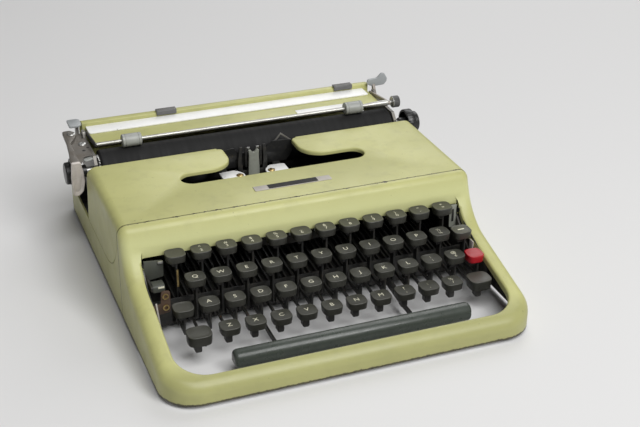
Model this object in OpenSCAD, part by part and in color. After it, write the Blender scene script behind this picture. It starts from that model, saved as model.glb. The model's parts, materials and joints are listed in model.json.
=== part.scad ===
// Portable typewriter with a low casing, a lift-off ribbon cover and a sliding carriage.
// Millimetres. The origin is on the table at the middle of the footprint, X to the
// typist's right, Y to the rear, Z up. Inside the modules y is measured from the front.

/* [Casing] */
// Width of the casing
case_width = 276; // [274:1:282]
// Depth of the casing, front to rear
case_depth = 322; // [320:1:330]
// Height of the flat deck above the table
deck_height = 78; // [77:0.5:79]
// Height of the low rear wall above the table
tray_height = 28; // [27.5:0.1:28.2]
// Thickness of the sheet metal
sheet = 1.6; // [1.2:0.1:2]
// Height of the rubber feet
foot_height = 3; // [2:0.2:3.4]
// Radius of the front corners in plan
corner_radius = 26; // [22:1:30]
// Radius of the rounded upper edges
edge_radius = 9; // [7:0.5:11]
// Height of the front lip where the slope starts
lip_height = 17.8; // [16:0.2:20]
// Width of the keyboard opening
opening_width = 250; // [249:0.5:252]
// Width of the rim in front of the keyboard
rim = 12; // [10:0.5:14]
// Height of the lower edge of the shoulder
shoulder_low = 55.5; // [52:0.5:60]

/* [Ribbon cover] */
// Distance of the seam from the front
seam_y = 125; // [124:0.5:127]
// Gap along the seam
seam_gap = 0.6; // [0.4:0.1:0.9]
// Distance of the rear edge of the cover from the front
cover_rear = 227; // [225:0.5:228]
// Length of the type slot
slot_length = 150; // [140:1:156]
// Width of the type slot
slot_width = 19; // [16:0.5:20]
// Width of the throat between the two tongues
throat_width = 58; // [54:1:64]

/* [Keys] */
// Distance between neighbouring keys
key_pitch = 19.05; // [19:0.05:19.15]
// Width of a key cap
cap_width = 14.6; // [13:0.1:14.8]
// Depth of a key cap
cap_depth = 13.6; // [12:0.1:13.8]
// Height of a key cap with its foot
cap_height = 6; // [5:0.1:6.2]
// Distance of the front row from the front
front_row_y = 55.2; // [55:0.1:55.4]
// Height of the front row above the table
front_row_z = 25; // [24.8:0.1:26]
// Distance between rows
row_step = 16.8; // [16.7:0.05:16.9]
// Rise from row to row
row_rise = 11.7; // [11.4:0.1:12]
// Thickness of a key lever
lever_thick = 1.4; // [1:0.1:1.6]
// Height of a key lever
lever_tall = 6; // [5:0.1:6.2]
// Length of the space bar
space_length = 178; // [160:1:190]

/* [Chassis] */
// Thickness of the chassis plates
plate = 1.5; // [1.2:0.1:1.8]
// Distance between the two side frames
frame_span = 246.8; // [246.4:0.1:247.2]
// Radius of the rod that carries the key levers
rod_radius = 1.5; // [1.2:0.1:1.7]
// Radial clearance of turning parts
turn_gap = 0.06; // [0.04:0.01:0.1]
// Offset of the type guide from the middle
guide_x = -4; // [-6:0.5:2]

/* [Carriage] */
// Radius of the platen
platen_radius = 15; // [14:0.1:15.2]
// Length of the platen
platen_length = 248; // [240:1:248.4]
// Distance of the platen axis from the front
platen_y = 247.1; // [247:0.1:248]
// Height of the platen axis
platen_z = 66.5; // [66.3:0.1:67]
// Radius of the platen shaft
shaft_radius = 3; // [2.5:0.1:3.2]
// Radius of the platen knobs
knob_radius = 11.5; // [10:0.1:11.6]
// Distance between the outer ends of the knobs
knob_span = 304; // [296:1:310]
// Radius of the bail rod
bail_radius = 1.5; // [1.2:0.1:1.8]
// Radius of the bail rollers
roller_radius = 5.2; // [4.6:0.1:5.3]
// Gap between a sliding part and its track
slide_gap = 0.4; // [0.3:0.05:0.6]

/* [Hidden] */
$fn = 48;
green = [0.72, 0.73, 0.47];
steel = [0.55, 0.56, 0.57];
dark = [0.13, 0.14, 0.14];
nickel = [0.8, 0.8, 0.79];
half_width = case_width / 2;
rear_radius = 14;
cover_lean = 11;
seam_radius = deck_height - tray_height;
knee = [106.8, 45.4];
shoulder_y = seam_y - 5.5;
opening_rear = 113.5;
base_plate_thick = 1.2;
base_top = foot_height + base_plate_thick;
frame_in = frame_span / 2;
frame_out = frame_in + plate;
frame_top = 48;
frame_low = 27;
fulcrum = [212, 24];
lever_low = 12;
comb_y = 98.4;
comb_thick = 1.4;
comb_low = 6;
comb_top = 27;
row_middle = 3.3;
row_first = row_middle - 5.5 * key_pitch;
row_shift = [0, 0.5, 0.75, 1.25];
row_keys = [11, 11, 11, 10];
bar_arms = [row_x(2, 2) + key_pitch / 8, row_x(3, 7) + key_pitch / 8];
bar_middle = 7;
bed_low = tray_height + 1.5;
bed_tall = 9.5;
bed_half = platen_length / 2 + 3;
bed_y = [260, 284];
rail_y = [270, 274];
rail_block_y = [264, 280];
rail_low = 20;
rail_tall = 3.5;
end_out = bed_half + 2.4;
end_top = 79.5;
knob_inner = end_out + 5.6;
knob_length = knob_span / 2 - knob_inner;
knob_hub = 5;
bail_at = [platen_y + 1.1, platen_z + platen_radius + 5.5];
bail_pivot = [285.5, 81.2];
bail_arm_in = bed_half - 2;
bail_arm_thick = 1.6;
feed_radius = 4.5;
feed_z = platen_z - platen_radius - feed_radius - 0.35;
scale_top = 83;
scale_front = 281;
table_front = 262.5;
table_half = bed_half - 2.6;
cover_front = 296;
lever_pivot = [-end_out - 9.1, 284];
lever_z = end_top + 0.4;
release_pivot = [300, 64];
paper_pivot = [285, 72];
spool_at = [88, 180];
spool_floor = frame_top + plate;
drum_at = [-92, case_depth - 26];
drum_radius = 17;
drum_top = base_top + 15.2;
bell_at = [95, case_depth - 26];
bell_z = 11;
foot_radius = 6;
front_foot_y = 15;
rear_foot_y = case_depth - 28;
basket_y = 222;
basket_z = 36;
post_x = 37;
selector_pivot = [125, 40];
tab_lever = frame_in - 2.9;

function unit(v) = v / norm(v);
function turn(a) = a > 180 ? a - 360 : a < -180 ? a + 360 : a;
// Points of the arc that rounds the corner b between a and c
function fillet(a, b, c, r, n) =
    let (u = unit(a - b), v = unit(c - b), half = acos(u * v) / 2)
    let (p = b + u * r / tan(half), q = b + v * r / tan(half))
    let (m = b + unit(u + v) * r / sin(half))
    let (t = atan2(p[1] - m[1], p[0] - m[0]))
    let (d = turn(atan2(q[1] - m[1], q[0] - m[0]) - t))
    [for (i = [0:n]) m + r * [cos(t + d * i / n), sin(t + d * i / n)]];
// Rounded outline from corner points, each with its own radius
function rounded(p, r, n = 5) = [for (i = [0:len(p) - 1])
    each r[i] > 0
        ? fillet(p[(i + len(p) - 1) % len(p)], p[i], p[(i + 1) % len(p)], r[i], n)
        : [p[i]]];
function box_outline(w, d, r) =
    rounded([[-w / 2, -d / 2], [w / 2, -d / 2], [w / 2, d / 2], [-w / 2, d / 2]], [r, r, r, r]);

function row_x(row, i) = row_first + key_pitch * (row_shift[row] + i);
function row_y(row) = front_row_y + row_step * (3 - row);
function row_z(row) = front_row_z + row_rise * (3 - row);

// Upper line of the casing side, from the front lip back to the seam
lip = [0, lip_height];
roof = [shoulder_y, deck_height];
function slope(y) = lip_height + (knee[1] - lip_height) * y / knee[0];
front_line = concat(fillet([0, 0], lip, knee, 9, 6),
    [for (y = [11, 14, 18, 22, 26, 32]) [y, slope(y)]],
    fillet(lip, knee, roof, 40, 8),
    fillet(knee, roof, [seam_y, deck_height], 7, 6),
    [[seam_y, deck_height]]);
seam_line = [for (i = [1:10])
    [seam_y + seam_radius * (1 - cos(9 * i)), deck_height - seam_radius * sin(9 * i)]];
rear_line = [for (i = [0:5])
    [case_depth - rear_radius * (1 - sin(18 * i)), tray_height]];
casing_line = concat(front_line, seam_line, rear_line);

function tangent(p, i) = unit(p[min(i + 1, len(p) - 1)] - p[max(i - 1, 0)]);
function inward(p, i, d) = p[i] + d * [tangent(p, i)[1], -tangent(p, i)[0]];
// The casing line moved inwards by a distance
function inner_line(d) = concat([[d, front_line[0][1]]],
    [for (i = [1:len(front_line) - 2]) inward(front_line, i, d)],
    [[seam_y, deck_height - d], [seam_y + 0.9, deck_height - d]]);

// Half width of the casing at a distance from the front
function plan_half(y, inset) =
    y < corner_radius
        ? half_width - corner_radius
            + sqrt(max(0, pow(corner_radius - inset, 2) - pow(corner_radius - y, 2)))
    : y > case_depth - rear_radius
        ? half_width - rear_radius
            + sqrt(max(0, pow(rear_radius - inset, 2) - pow(y - case_depth + rear_radius, 2)))
    : half_width - inset;

// Moves the part so that the middle of the footprint is at the origin
module stand() {
    translate([0, -case_depth / 2, 0]) children();
}

// Extrudes an outline drawn in y and z from x0 to x1
module side_plate(x0, x1) {
    translate([x0, 0, 0]) rotate([90, 0, 90]) linear_extrude(height = x1 - x0) children();
}

// Extrudes an outline drawn in x and z from y0 to y1
module front_plate(y0, y1) {
    translate([0, y1, 0]) rotate([90, 0, 0]) linear_extrude(height = y1 - y0) children();
}

// Extrudes an outline drawn in x and y from z0 to z1
module flat_plate(z0, z1) {
    translate([0, 0, z0]) linear_extrude(height = z1 - z0) children();
}

module block(x, y, z) {
    translate([x[0], y[0], z[0]]) cube([x[1] - x[0], y[1] - y[0], z[1] - z[0]]);
}

module rod(at, r, x0, x1) {
    translate([x0, at[0], at[1]]) rotate([0, 90, 0]) cylinder(r = r, h = x1 - x0);
}

module post(x, y, r, z0, z1) {
    translate([x, y, z0]) cylinder(r = r, h = z1 - z0);
}

// Points of one cross-section of the casing with rounded upper edges
function casing_slice(y, z, half, r, low) =
    let (q = min(r, (z - low) / 2, half / 2))
    let (corners = [[-half, low], [half, low], [half, z], [-half, z]])
    [for (p = rounded(corners, [0, 0, q, q], 4)) [p[0], y, p[1]]];
function slice_radius(y, inset) = y > seam_y + 1 ? 1 : edge_radius - inset;

// Closed skin through the cross-sections along a line of the casing side
module casing_body(line, inset, low) {
    slices = [for (p = line)
        casing_slice(p[0], p[1], plan_half(p[0], inset), slice_radius(p[0], inset), low)];
    m = len(slices[0]);
    last = len(slices) - 1;
    sides = [for (k = [0:last - 1], j = [0:m - 1])
        let (a = k * m + j, b = k * m + (j + 1) % m)
        each [[a, b, b + m], [a, b + m, a + m]]];
    polyhedron(points = [for (s = slices) each s], faces = concat(sides,
        [[for (j = [m - 1:-1:0]) j], [for (j = [0:m - 1]) last * m + j]]));
}

module plan_outline(inset, y0) {
    difference() {
        polygon(concat(
            [for (i = [0:6]) let (a = 15 * i) [half_width - corner_radius
                + (corner_radius - inset) * sin(a), corner_radius
                - (corner_radius - inset) * cos(a)]],
            [for (i = [0:6]) let (a = 15 * i) [half_width - rear_radius
                + (rear_radius - inset) * cos(a), case_depth - rear_radius
                + (rear_radius - inset) * sin(a)]],
            [for (i = [6:-1:0]) let (a = 15 * i) [-half_width + rear_radius
                - (rear_radius - inset) * cos(a), case_depth - rear_radius
                + (rear_radius - inset) * sin(a)]],
            [for (i = [6:-1:0]) let (a = 15 * i) [-half_width + corner_radius
                - (corner_radius - inset) * sin(a), corner_radius
                - (corner_radius - inset) * cos(a)]]));
        translate([-half_width, -1]) square([case_width, y0 + 1]);
    }
}

module keyboard_opening() {
    wide = opening_width / 2;
    corners = [[-wide, rim], [wide, rim], [wide, opening_rear], [-wide, opening_rear]];
    flat_plate(-1, deck_height + 20) polygon(rounded(corners, [22, 22, 3, 3]));
}

module main_casing() {
    color(green) stand() {
        difference() {
            casing_body(casing_line, 0, foot_height);
            casing_body(inner_line(sheet), sheet, -1);
            flat_plate(-1, deck_height + 20) plan_outline(sheet, seam_y);
            keyboard_opening();
        }
        intersection() {
            casing_body(inner_line(sheet / 2), sheet / 2, foot_height);
            block([-half_width, half_width], [opening_rear, opening_rear + sheet],
                [shoulder_low, deck_height]);
        }
        flat_plate(foot_height, foot_height + sheet) intersection() {
            plan_outline(sheet / 2, 0);
            for (s = [-1, 1]) {
                translate([s * (half_width - 14), 14]) square(28, center = true);
            }
        }
    }
}

module base_plate() {
    color(dark) stand() {
        inside = half_width - sheet - 0.3;
        narrow = half_width - rear_radius - 2;
        block([-inside, inside], [104, case_depth - 18], [foot_height, base_top]);
        block([-narrow, narrow], [200, case_depth - sheet - 0.4], [foot_height, base_top]);
        post(drum_at[0], drum_at[1], 3, base_top - 0.1, drum_top + 0.3);
    }
}

module rubber_feet() {
    color(dark) stand() {
        for (s = [-1, 1]) {
            post(s * (half_width - 17), front_foot_y, foot_radius, 0, foot_height);
            post(s * (half_width - 20), rear_foot_y, foot_radius, 0, foot_height);
        }
    }
}

module frame_outline() {
    polygon([[64, base_top], [64, 14], [76, 20], [80, 24], [96, 34], [112, frame_top],
        [228, frame_top], [234, frame_low], [288, frame_low], [288, base_top]]);
}

module left_side_frame() {
    color(steel) stand() {
        side_plate(-frame_out, -frame_in) frame_outline();
        rod(selector_pivot, rod_radius, -frame_in - 0.1, -frame_in + 2.6);
    }
}

module right_side_frame() {
    color(steel) stand() side_plate(frame_in, frame_out) frame_outline();
}

module chassis_bushes() {
    color(dark) stand() {
        for (y = [150, 262]) {
            rod([y, 14], 5, frame_out, half_width - sheet);
            rod([y, 14], 5, sheet - half_width, -frame_out);
        }
    }
}

module lever_comb() {
    wide = lever_thick + 1.2;
    places = concat([for (row = [1:3]) for (i = [0:row_keys[row] - 1]) row_x(row, i)], bar_arms,
        [row_x(3, -1), row_x(3, 10), row_x(2, -1), row_x(1, 11), tab_lever]);
    pair = [row_x(1, 11), tab_lever];
    color(dark) stand() front_plate(comb_y, comb_y + comb_thick) difference() {
        translate([-frame_in, comb_low]) square([frame_span, comb_top - comb_low]);
        for (x = places) {
            translate([x - wide / 2, comb_low - 1]) square([wide, comb_top - comb_low - 3]);
        }
        translate([pair[0], comb_low - 1]) square([pair[1] - pair[0], comb_top - comb_low - 3]);
    }
}

module fulcrum_rod() {
    color(steel) stand() rod(fulcrum, rod_radius, -frame_in, frame_in);
}

module carriage_rail() {
    color(steel) stand() {
        block([-frame_in, frame_in], rail_block_y, [rail_low, frame_low]);
        block([-frame_in, frame_in], rail_y, [frame_low - 0.1, bed_low + rail_tall]);
    }
}

module type_guide() {
    color(steel) stand() translate([guide_x, 0, 0]) {
        front_plate(221, 224) polygon([[-5, base_top], [5, base_top], [5, 62], [7, 66],
            [7, 77.5], [4.8, 77.5], [4.8, 68], [3.2, 66], [3.2, 75], [-3.2, 75], [-3.2, 66],
            [-4.8, 68], [-4.8, 77.5], [-7, 77.5], [-7, 66], [-5, 62]]);
        for (s = [-1, 1]) {
            translate([s * 17, 0, 0])
                block([-13, 13], [206, 221.5], [58, 58 + plate]);
        }
        block([-5, 5], [214, 221.5], [58, 58 + plate]);
    }
}

module shift_guide_posts() {
    color(nickel) stand() for (s = [-1, 1]) post(s * post_x, basket_y, 3, base_top, 50);
}

module spool_brackets() {
    color(steel) stand() for (s = [-1, 1]) {
        flat_plate(frame_top, spool_floor) {
            translate([s * spool_at[0], spool_at[1]]) circle(r = 21.5);
            translate([s > 0 ? spool_at[0] : -frame_out, spool_at[1] - 10])
                square([frame_out - spool_at[0], 20]);
        }
        post(s * spool_at[0], spool_at[1], 2.5, spool_floor - 0.1, 66);
    }
}

module warning_bell() {
    color(nickel) stand() {
        post(bell_at[0], bell_at[1], 3, base_top, bell_z + 7.3);
        translate([bell_at[0], bell_at[1], bell_z]) rotate_extrude() polygon([[0, 7], [5, 6.6], [9, 4.8],
            [12, 1.5], [12.6, -2], [13.6, -2], [13, 2], [9.8, 5.8], [5.4, 7.8], [0, 8.2]]);
    }
}

module slot_outline() {
    r = slot_width / 2;
    y = 182.5;
    tip = 19;
    square_to = cover_rear + 6;
    translate([-slot_length / 2 + r, y - r]) square([slot_length - 2 * r, slot_width]);
    for (s = [-1, 1]) {
        translate([s * (slot_length / 2 - r), y]) circle(r = r);
        difference() {
            translate([s > 0 ? throat_width / 2 - 1 : -throat_width / 2 - tip, y])
                square([tip + 1, r + tip]);
            translate([s * (throat_width / 2 + tip), y + r + tip]) circle(r = tip);
        }
        difference() {
            translate([s > 0 ? throat_width / 2 - 1 : -throat_width / 2 - 4, cover_rear - 4])
                square([5, 8]);
            translate([s * (throat_width / 2 + 4), cover_rear - 4.4]) circle(r = 4);
        }
    }
    translate([-throat_width / 2, y]) square([throat_width, square_to - y]);
}

module cover_section(inset, low) {
    w = half_width - inset;
    r = edge_radius - inset;
    polygon(rounded([[-w, low], [w, low], [w, deck_height - inset], [-w, deck_height - inset]],
        [0, 0, r, r]));
}

module ribbon_cover() {
    r = seam_radius - seam_gap;
    low = tray_height + seam_gap;
    side = concat([[cover_rear, deck_height + 1], [cover_rear, deck_height],
        [cover_rear + cover_lean, low]],
        [for (i = [10:-1:0]) [seam_y + seam_radius - r * cos(9 * i), deck_height - r * sin(9 * i)]],
        [[seam_y + seam_gap, deck_height + 1]]);
    color(green) stand() difference() {
        intersection() {
            side_plate(-half_width - 1, half_width + 1) polygon(side);
            front_plate(seam_y - 1, 250) cover_section(0, tray_height - 1);
        }
        front_plate(seam_y - 2, 260) cover_section(sheet, tray_height - 2);
        flat_plate(deck_height - 10, deck_height + 10) slot_outline();
    }
}

module badge_plate() {
    color(nickel) stand() block([-28.5, 32.9], [143, 150.4], [deck_height, deck_height + 0.7]);
}

module arc_band(r0, r1, a, z0, z1) {
    translate([0, basket_y, z0]) rotate([0, 0, -90 - a]) rotate_extrude(angle = 2 * a)
        translate([r0, 0]) square([r1 - r0, z1 - z0]);
}

module type_segment() {
    color(steel) stand() difference() {
        union() {
            arc_band(30, 44, 90, basket_z, basket_z + 10);
            for (s = [-1, 1]) {
                block(s > 0 ? [30, 44] : [-44, -30], [basket_y - 1, basket_y + 5],
                    [basket_z, basket_z + 10]);
                translate([0, basket_y, basket_z + 2]) rotate([0, 0, s * 30 - 90])
                    translate([42, -4, 0]) cube([50, 8, 5]);
            }
            arc_band(89, 96, 52, basket_z + 3, basket_z + 9.8);
        }
        for (s = [-1, 1]) {
            post(s * post_x, basket_y, 3 + turn_gap, basket_z - 1, basket_z + 11);
        }
    }
}

module type_bars() {
    color(nickel) stand() for (i = [-21:21]) {
        translate([0, basket_y, basket_z + 10]) rotate([0, 0, i * 50 / 21 - 90])
            translate([33, -0.45, 0]) cube([64, 0.9, 4]);
    }
}

module ribbon_vibrator() {
    color(nickel) stand() translate([guide_x, 0, 0]) front_plate(224.4, 226)
        polygon([[-13, 50], [13, 50], [13, 77], [8.4, 77], [8.4, 56], [-8.4, 56],
            [-8.4, 77], [-13, 77]]);
}

module spool(x) {
    translate([x, spool_at[1], spool_floor + slide_gap]) difference() {
        union() {
            cylinder(r = 20.5, h = 1);
            cylinder(r = 16.5, h = 13);
            translate([0, 0, 12]) cylinder(r = 20.5, h = 1);
        }
        translate([0, 0, -1]) cylinder(r = 2.5 + turn_gap, h = 15);
    }
}

module left_ribbon_spool() {
    color(dark) stand() spool(-spool_at[0]);
}

module right_ribbon_spool() {
    color(dark) stand() spool(spool_at[0]);
}

module mainspring_drum() {
    color(steel) stand() translate([drum_at[0], drum_at[1], base_top + 1.2]) difference() {
        cylinder(r = drum_radius, h = drum_top - base_top - 1.2);
        translate([0, 0, 12]) cylinder(r = drum_radius - 2.5, h = 3);
        translate([0, 0, -1]) cylinder(r = 3 + turn_gap, h = 16);
    }
}

// Key cap with a narrower foot, its top at the given place
module key_cap(x, y, z, w, d) {
    translate([x, y, z - cap_height]) {
        linear_extrude(height = 1.7) square([7, 7], center = true);
        translate([0, 0, 1.6]) linear_extrude(height = cap_height - 1.6)
            polygon(box_outline(w, d, 4.6));
    }
}

// Lever from the post under a cap back to the fulcrum rod
module key_lever(x, y, top) {
    side_plate(x - lever_thick / 2, x + lever_thick / 2) difference() {
        union() {
            polygon([[y - 3, lever_low + 3], [fulcrum[0], fulcrum[1] - lever_tall / 2],
                [fulcrum[0], fulcrum[1] + lever_tall / 2], [y + 3, lever_low + lever_tall],
                [y + 3, top], [y - 3, top]]);
            translate(fulcrum) circle(r = 4);
        }
        translate(fulcrum) circle(r = rod_radius + turn_gap);
    }
}

module row_caps(row, first) {
    color([0.22, 0.25, 0.25]) stand() for (i = [first:first + row_keys[row] - 1]) {
        key_cap(row_x(row, i), row_y(row), row_z(row), cap_width, cap_depth);
    }
}

module row_levers(row, first) {
    color(dark) stand() for (i = [first:first + row_keys[row] - 1]) {
        key_lever(row_x(row, i), row_y(row), row_z(row) - cap_height);
    }
}

module number_row_caps() {
    row_caps(0, 1);
}

module number_row_levers() {
    row_levers(0, 1);
}

module upper_row_caps() {
    row_caps(1, 0);
}

module upper_row_levers() {
    row_levers(1, 0);
}

module home_row_caps() {
    row_caps(2, 0);
}

module home_row_levers() {
    row_levers(2, 0);
}

module lower_row_caps() {
    row_caps(3, 0);
}

module lower_row_levers() {
    row_levers(3, 0);
}

module space_bar() {
    color([0.24, 0.28, 0.26]) stand() translate([bar_middle, 0, 0])
        side_plate(-space_length / 2, space_length / 2)
            polygon(rounded([[26, 8], [36.5, 9], [35.5, 19], [27, 18]], [2, 2, 4, 4]));
}

module space_bar_arms() {
    color(dark) stand() for (x = bar_arms) {
        side_plate(x - lever_thick / 2, x + lever_thick / 2) difference() {
            union() {
                polygon([[28, 5.2], [64, 5.2], [fulcrum[0], fulcrum[1] - lever_tall / 2],
                    [fulcrum[0], fulcrum[1] + lever_tall / 2], [64, 9.6], [36, 9.6],
                    [36, 8.95], [28, 8.19]]);
                translate(fulcrum) circle(r = 4);
            }
            translate(fulcrum) circle(r = rod_radius + turn_gap);
        }
    }
}

module left_shift_key() {
    color([0.22, 0.25, 0.25]) stand() {
        key_cap(-100.6, front_row_y - 3.2, front_row_z + 1, 17.6, 15.6);
        key_lever(row_x(3, -1), front_row_y - 3.2, front_row_z + 1 - cap_height);
    }
}

module right_shift_key() {
    color([0.22, 0.25, 0.25]) stand() {
        key_cap(frame_in - 9.6, front_row_y - 4.2, front_row_z + 1, 17.2, 15.6);
        key_lever(row_x(3, 10), front_row_y - 4.2, front_row_z + 1 - cap_height);
    }
}

module shift_lock_key() {
    color([0.22, 0.25, 0.25]) stand() {
        key_cap(row_x(2, -1), row_y(2) - 1.2, row_z(2), cap_width, cap_depth);
        key_lever(row_x(2, -1), row_y(2) - 1.2, row_z(2) - cap_height);
    }
}

module backspace_key() {
    color([0.22, 0.25, 0.25]) stand() {
        key_cap(row_x(0, 0), row_y(0), row_z(0), cap_width, cap_depth);
        key_lever(row_x(0, 0), row_y(0), row_z(0) - cap_height);
    }
}

module tabulator_key() {
    color([0.75, 0.12, 0.16]) stand() {
        key_cap(frame_in - 5.4, row_y(2) - 3.4, row_z(2), cap_width - 1.6, cap_depth);
        key_lever(tab_lever, row_y(2) - 3.4, row_z(2) - cap_height + 1.6);
    }
}

module margin_release_key() {
    color([0.22, 0.25, 0.25]) stand() {
        key_cap(frame_in - 8.2, row_y(1) - 2.6, row_z(1), cap_width, cap_depth);
        key_lever(row_x(1, 11), row_y(1) - 2.6, row_z(1) - cap_height);
    }
}

module ribbon_selector() {
    inner = -frame_in + slide_gap;
    color(dark) stand() {
        side_plate(inner, inner + 1.6) difference() {
            polygon([[92, 39], [128, 36.4], [128, 43.6], [92, 43]]);
            translate(selector_pivot) circle(r = rod_radius + turn_gap);
        }
        block([inner, inner + 10], [92, 96], [39, 43]);
        block([inner + 3, inner + 10], [92, 101], [38, 44]);
    }
}

module carriage_bed() {
    color(steel) stand() difference() {
        block([-bed_half, bed_half], bed_y, [bed_low, bed_low + bed_tall]);
        block([-bed_half - 1, bed_half + 1], rail_y + [-slide_gap, slide_gap],
            [bed_low - 1, bed_low + rail_tall + slide_gap]);
    }
}

module end_outline() {
    difference() {
        polygon([[241, 42], [238.5, 58], [238.5, 74], [244, end_top], [281, end_top],
            [283, end_top + 4.5], [288, end_top + 4.5], [288.6, end_top], [294, end_top],
            [305, 70], [305, 58], [290, 50], [bed_y[1], bed_low], [bed_y[0], bed_low],
            [256, 42]]);
        translate([platen_y, platen_z]) circle(r = shaft_radius + turn_gap);
        translate([platen_y, feed_z]) circle(r = 1.5 + turn_gap);
        translate([rail_y[0] - slide_gap, bed_low - 1])
            square([rail_y[1] - rail_y[0] + 2 * slide_gap, rail_tall + 1 + slide_gap]);
    }
}

module left_end_plate() {
    color(steel) stand() {
        side_plate(-end_out, -bed_half) end_outline();
        flat_plate(end_top - 1.7, end_top) polygon([[-bed_half - 0.5, 251], [-end_out - 8, 251],
            [-end_out - 12.6, 272], [-end_out - 12.6, 291], [-bed_half - 0.5, 291]]);
        post(lever_pivot[0], lever_pivot[1], 2.5, end_top - 0.5, end_top + 5);
        rod(bail_pivot, 1.5, -bed_half - 0.2, -bail_arm_in + 0.3);
        rod(release_pivot, 1.5, -end_out - 3.4, -end_out + 0.2);
    }
}

module right_end_plate() {
    color(steel) stand() {
        side_plate(bed_half, end_out) end_outline();
        rod(bail_pivot, 1.5, bail_arm_in - 0.3, bed_half + 0.2);
        rod(paper_pivot, 1.5, end_out - 0.2, end_out + 3.6);
    }
}

module paper_table() {
    color(green) stand() block([-table_half, table_half], [table_front, cover_front],
        [scale_top - 2.4, scale_top - 1.2]);
}

module margin_scale() {
    color([0.93, 0.93, 0.91]) stand() block([-table_half, table_half - 3],
        [scale_front, cover_front], [scale_top - 1.2, scale_top]);
}

module carriage_cover() {
    f = cover_front;
    t = scale_top + 3;
    color(green) stand() side_plate(-bed_half, bed_half) polygon([[f, 62], [f, t],
        [f + 4, t + 0.5], [f + 13, t - 3], [f + 16, t - 10], [f + 16, 46], [f + 14.6, 46],
        [f + 14.6, t - 10.4], [f + 12, t - 4], [f + 3.8, t - 0.9], [f + 1.4, t - 1.2],
        [f + 1.4, 62]]);
}

module platen_roller() {
    color([0.16, 0.16, 0.17]) stand() difference() {
        rod([platen_y, platen_z], platen_radius, -platen_length / 2, platen_length / 2);
        rod([platen_y, platen_z], shaft_radius, -platen_length / 2 - 1, platen_length / 2 + 1);
    }
}

module platen_shaft() {
    color(nickel) stand()
        rod([platen_y, platen_z], shaft_radius, -knob_inner - knob_length / 2, knob_inner + knob_length / 2);
}

module platen_knob(s) {
    at = [platen_y, platen_z];
    l = knob_length;
    difference() {
        scale([s, 1, 1]) translate([knob_inner, 0, 0]) {
            rod(at, knob_hub, 0, 0.4 * l);
            rod(at, knob_radius, 0.3 * l, 0.91 * l);
            rod(at, knob_radius - 1.5, 0.88 * l, l);
        }
        scale([s, 1, 1]) translate([knob_inner, 0, 0]) rod(at, shaft_radius, -1, l / 2);
    }
}

module left_platen_knob() {
    color(dark) stand() platen_knob(-1);
}

module right_platen_knob() {
    color(dark) stand() platen_knob(1);
}

module line_space_ratchet() {
    teeth = 24;
    color(nickel) stand() side_plate(-platen_length / 2 - 1.6, -platen_length / 2)
        translate([platen_y, platen_z]) difference() {
            polygon([for (i = [0:2 * teeth - 1]) let (r = i % 2 == 0 ? 11.4 : 10)
                r * [cos(i * 180 / teeth), sin(i * 180 / teeth)]]);
            circle(r = shaft_radius);
        }
}

module feed_roller() {
    color(dark) stand() {
        rod([platen_y, feed_z], feed_radius, 14 - platen_length / 2, platen_length / 2 - 14);
        rod([platen_y, feed_z], 1.5, -end_out + 0.4, end_out - 0.4);
    }
}

module line_space_lever() {
    x = lever_pivot[0];
    y = lever_pivot[1];
    color(nickel) stand() {
        flat_plate(lever_z, lever_z + 3) difference() {
            union() {
                translate(lever_pivot) circle(r = 6);
                polygon([[x - 5, y], [x + 5, y], [x - 2, 246], [x - 2, 227.4], [x - 11, 227.4],
                    [x - 12.5, 240]]);
            }
            translate(lever_pivot) circle(r = 2.5 + turn_gap);
        }
        intersection() {
            side_plate(x - 13, x - 1) polygon([[227.4, lever_z + 3], [229.8, lever_z + 3],
                [237.8, 52], [235.4, 52]]);
            front_plate(225, 242) polygon(rounded([[x - 4.5, 53], [x - 10.5, 53],
                [x - 12.5, 60], [x - 11, lever_z + 3], [x - 2, lever_z + 3], [x - 2, 62]],
                [2, 3, 4, 0, 0, 6]));
        }
    }
}

module paper_bail() {
    dir = unit(bail_at - bail_pivot);
    side = 2.6 * [-dir[1], dir[0]];
    a = bail_pivot - 3 * dir;
    b = bail_at + 2.4 * dir;
    color(nickel) stand() {
        rod(bail_at, bail_radius, -bail_arm_in - 1, bed_half + 1.6);
        for (s = [-1, 1]) {
            side_plate(s > 0 ? bail_arm_in : -bail_arm_in - bail_arm_thick,
                s > 0 ? bail_arm_in + bail_arm_thick : -bail_arm_in) difference() {
                polygon([a + side, b + side, b - side, a - side]);
                translate(bail_pivot) circle(r = 1.5 + turn_gap);
            }
        }
    }
}

module bail_knob() {
    color(dark) stand() rod(bail_at, 5, bed_half + 1.6, bed_half + 7.8);
}

module bail_roller(x) {
    difference() {
        rod(bail_at, roller_radius, x - 7.8, x + 7.8);
        rod(bail_at, bail_radius + turn_gap, x - 8.8, x + 8.8);
    }
}

module left_bail_roller() {
    color(steel) stand() bail_roller(-97);
}

module right_bail_roller() {
    color(steel) stand() bail_roller(93);
}

module margin_stop(x) {
    top = scale_top + 3.5 + slide_gap;
    block([x - 8.5, x + 8.5], [cover_front - 1.6, cover_front + 4.4], [top, top + 1.4]);
    block([x - 8.5, x + 8.5], [cover_front - 1.6, cover_front - slide_gap],
        [scale_top + 1.2, top + 0.1]);
}

module left_margin_stop() {
    color(steel) stand() margin_stop(-56);
}

module right_margin_stop() {
    color(steel) stand() margin_stop(103);
}

module paper_release_lever() {
    x = end_out + slide_gap;
    color(nickel) stand() {
        side_plate(x, x + 2.4) difference() {
            polygon([[281, 67], [289, 67], [299, 92], [297, 95], [293, 94]]);
            translate(paper_pivot) circle(r = 1.5 + turn_gap);
        }
        front_plate(292.4, 294.4) polygon([[x - 2, 88], [x - 1, 92], [x + 4, 92.2], [x + 8.4, 96.2],
            [x + 11, 95], [x + 13.8, 90.8], [x + 14.2, 88], [x + 11.8, 84.8], [x + 3, 83.6]]);
    }
}

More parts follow.
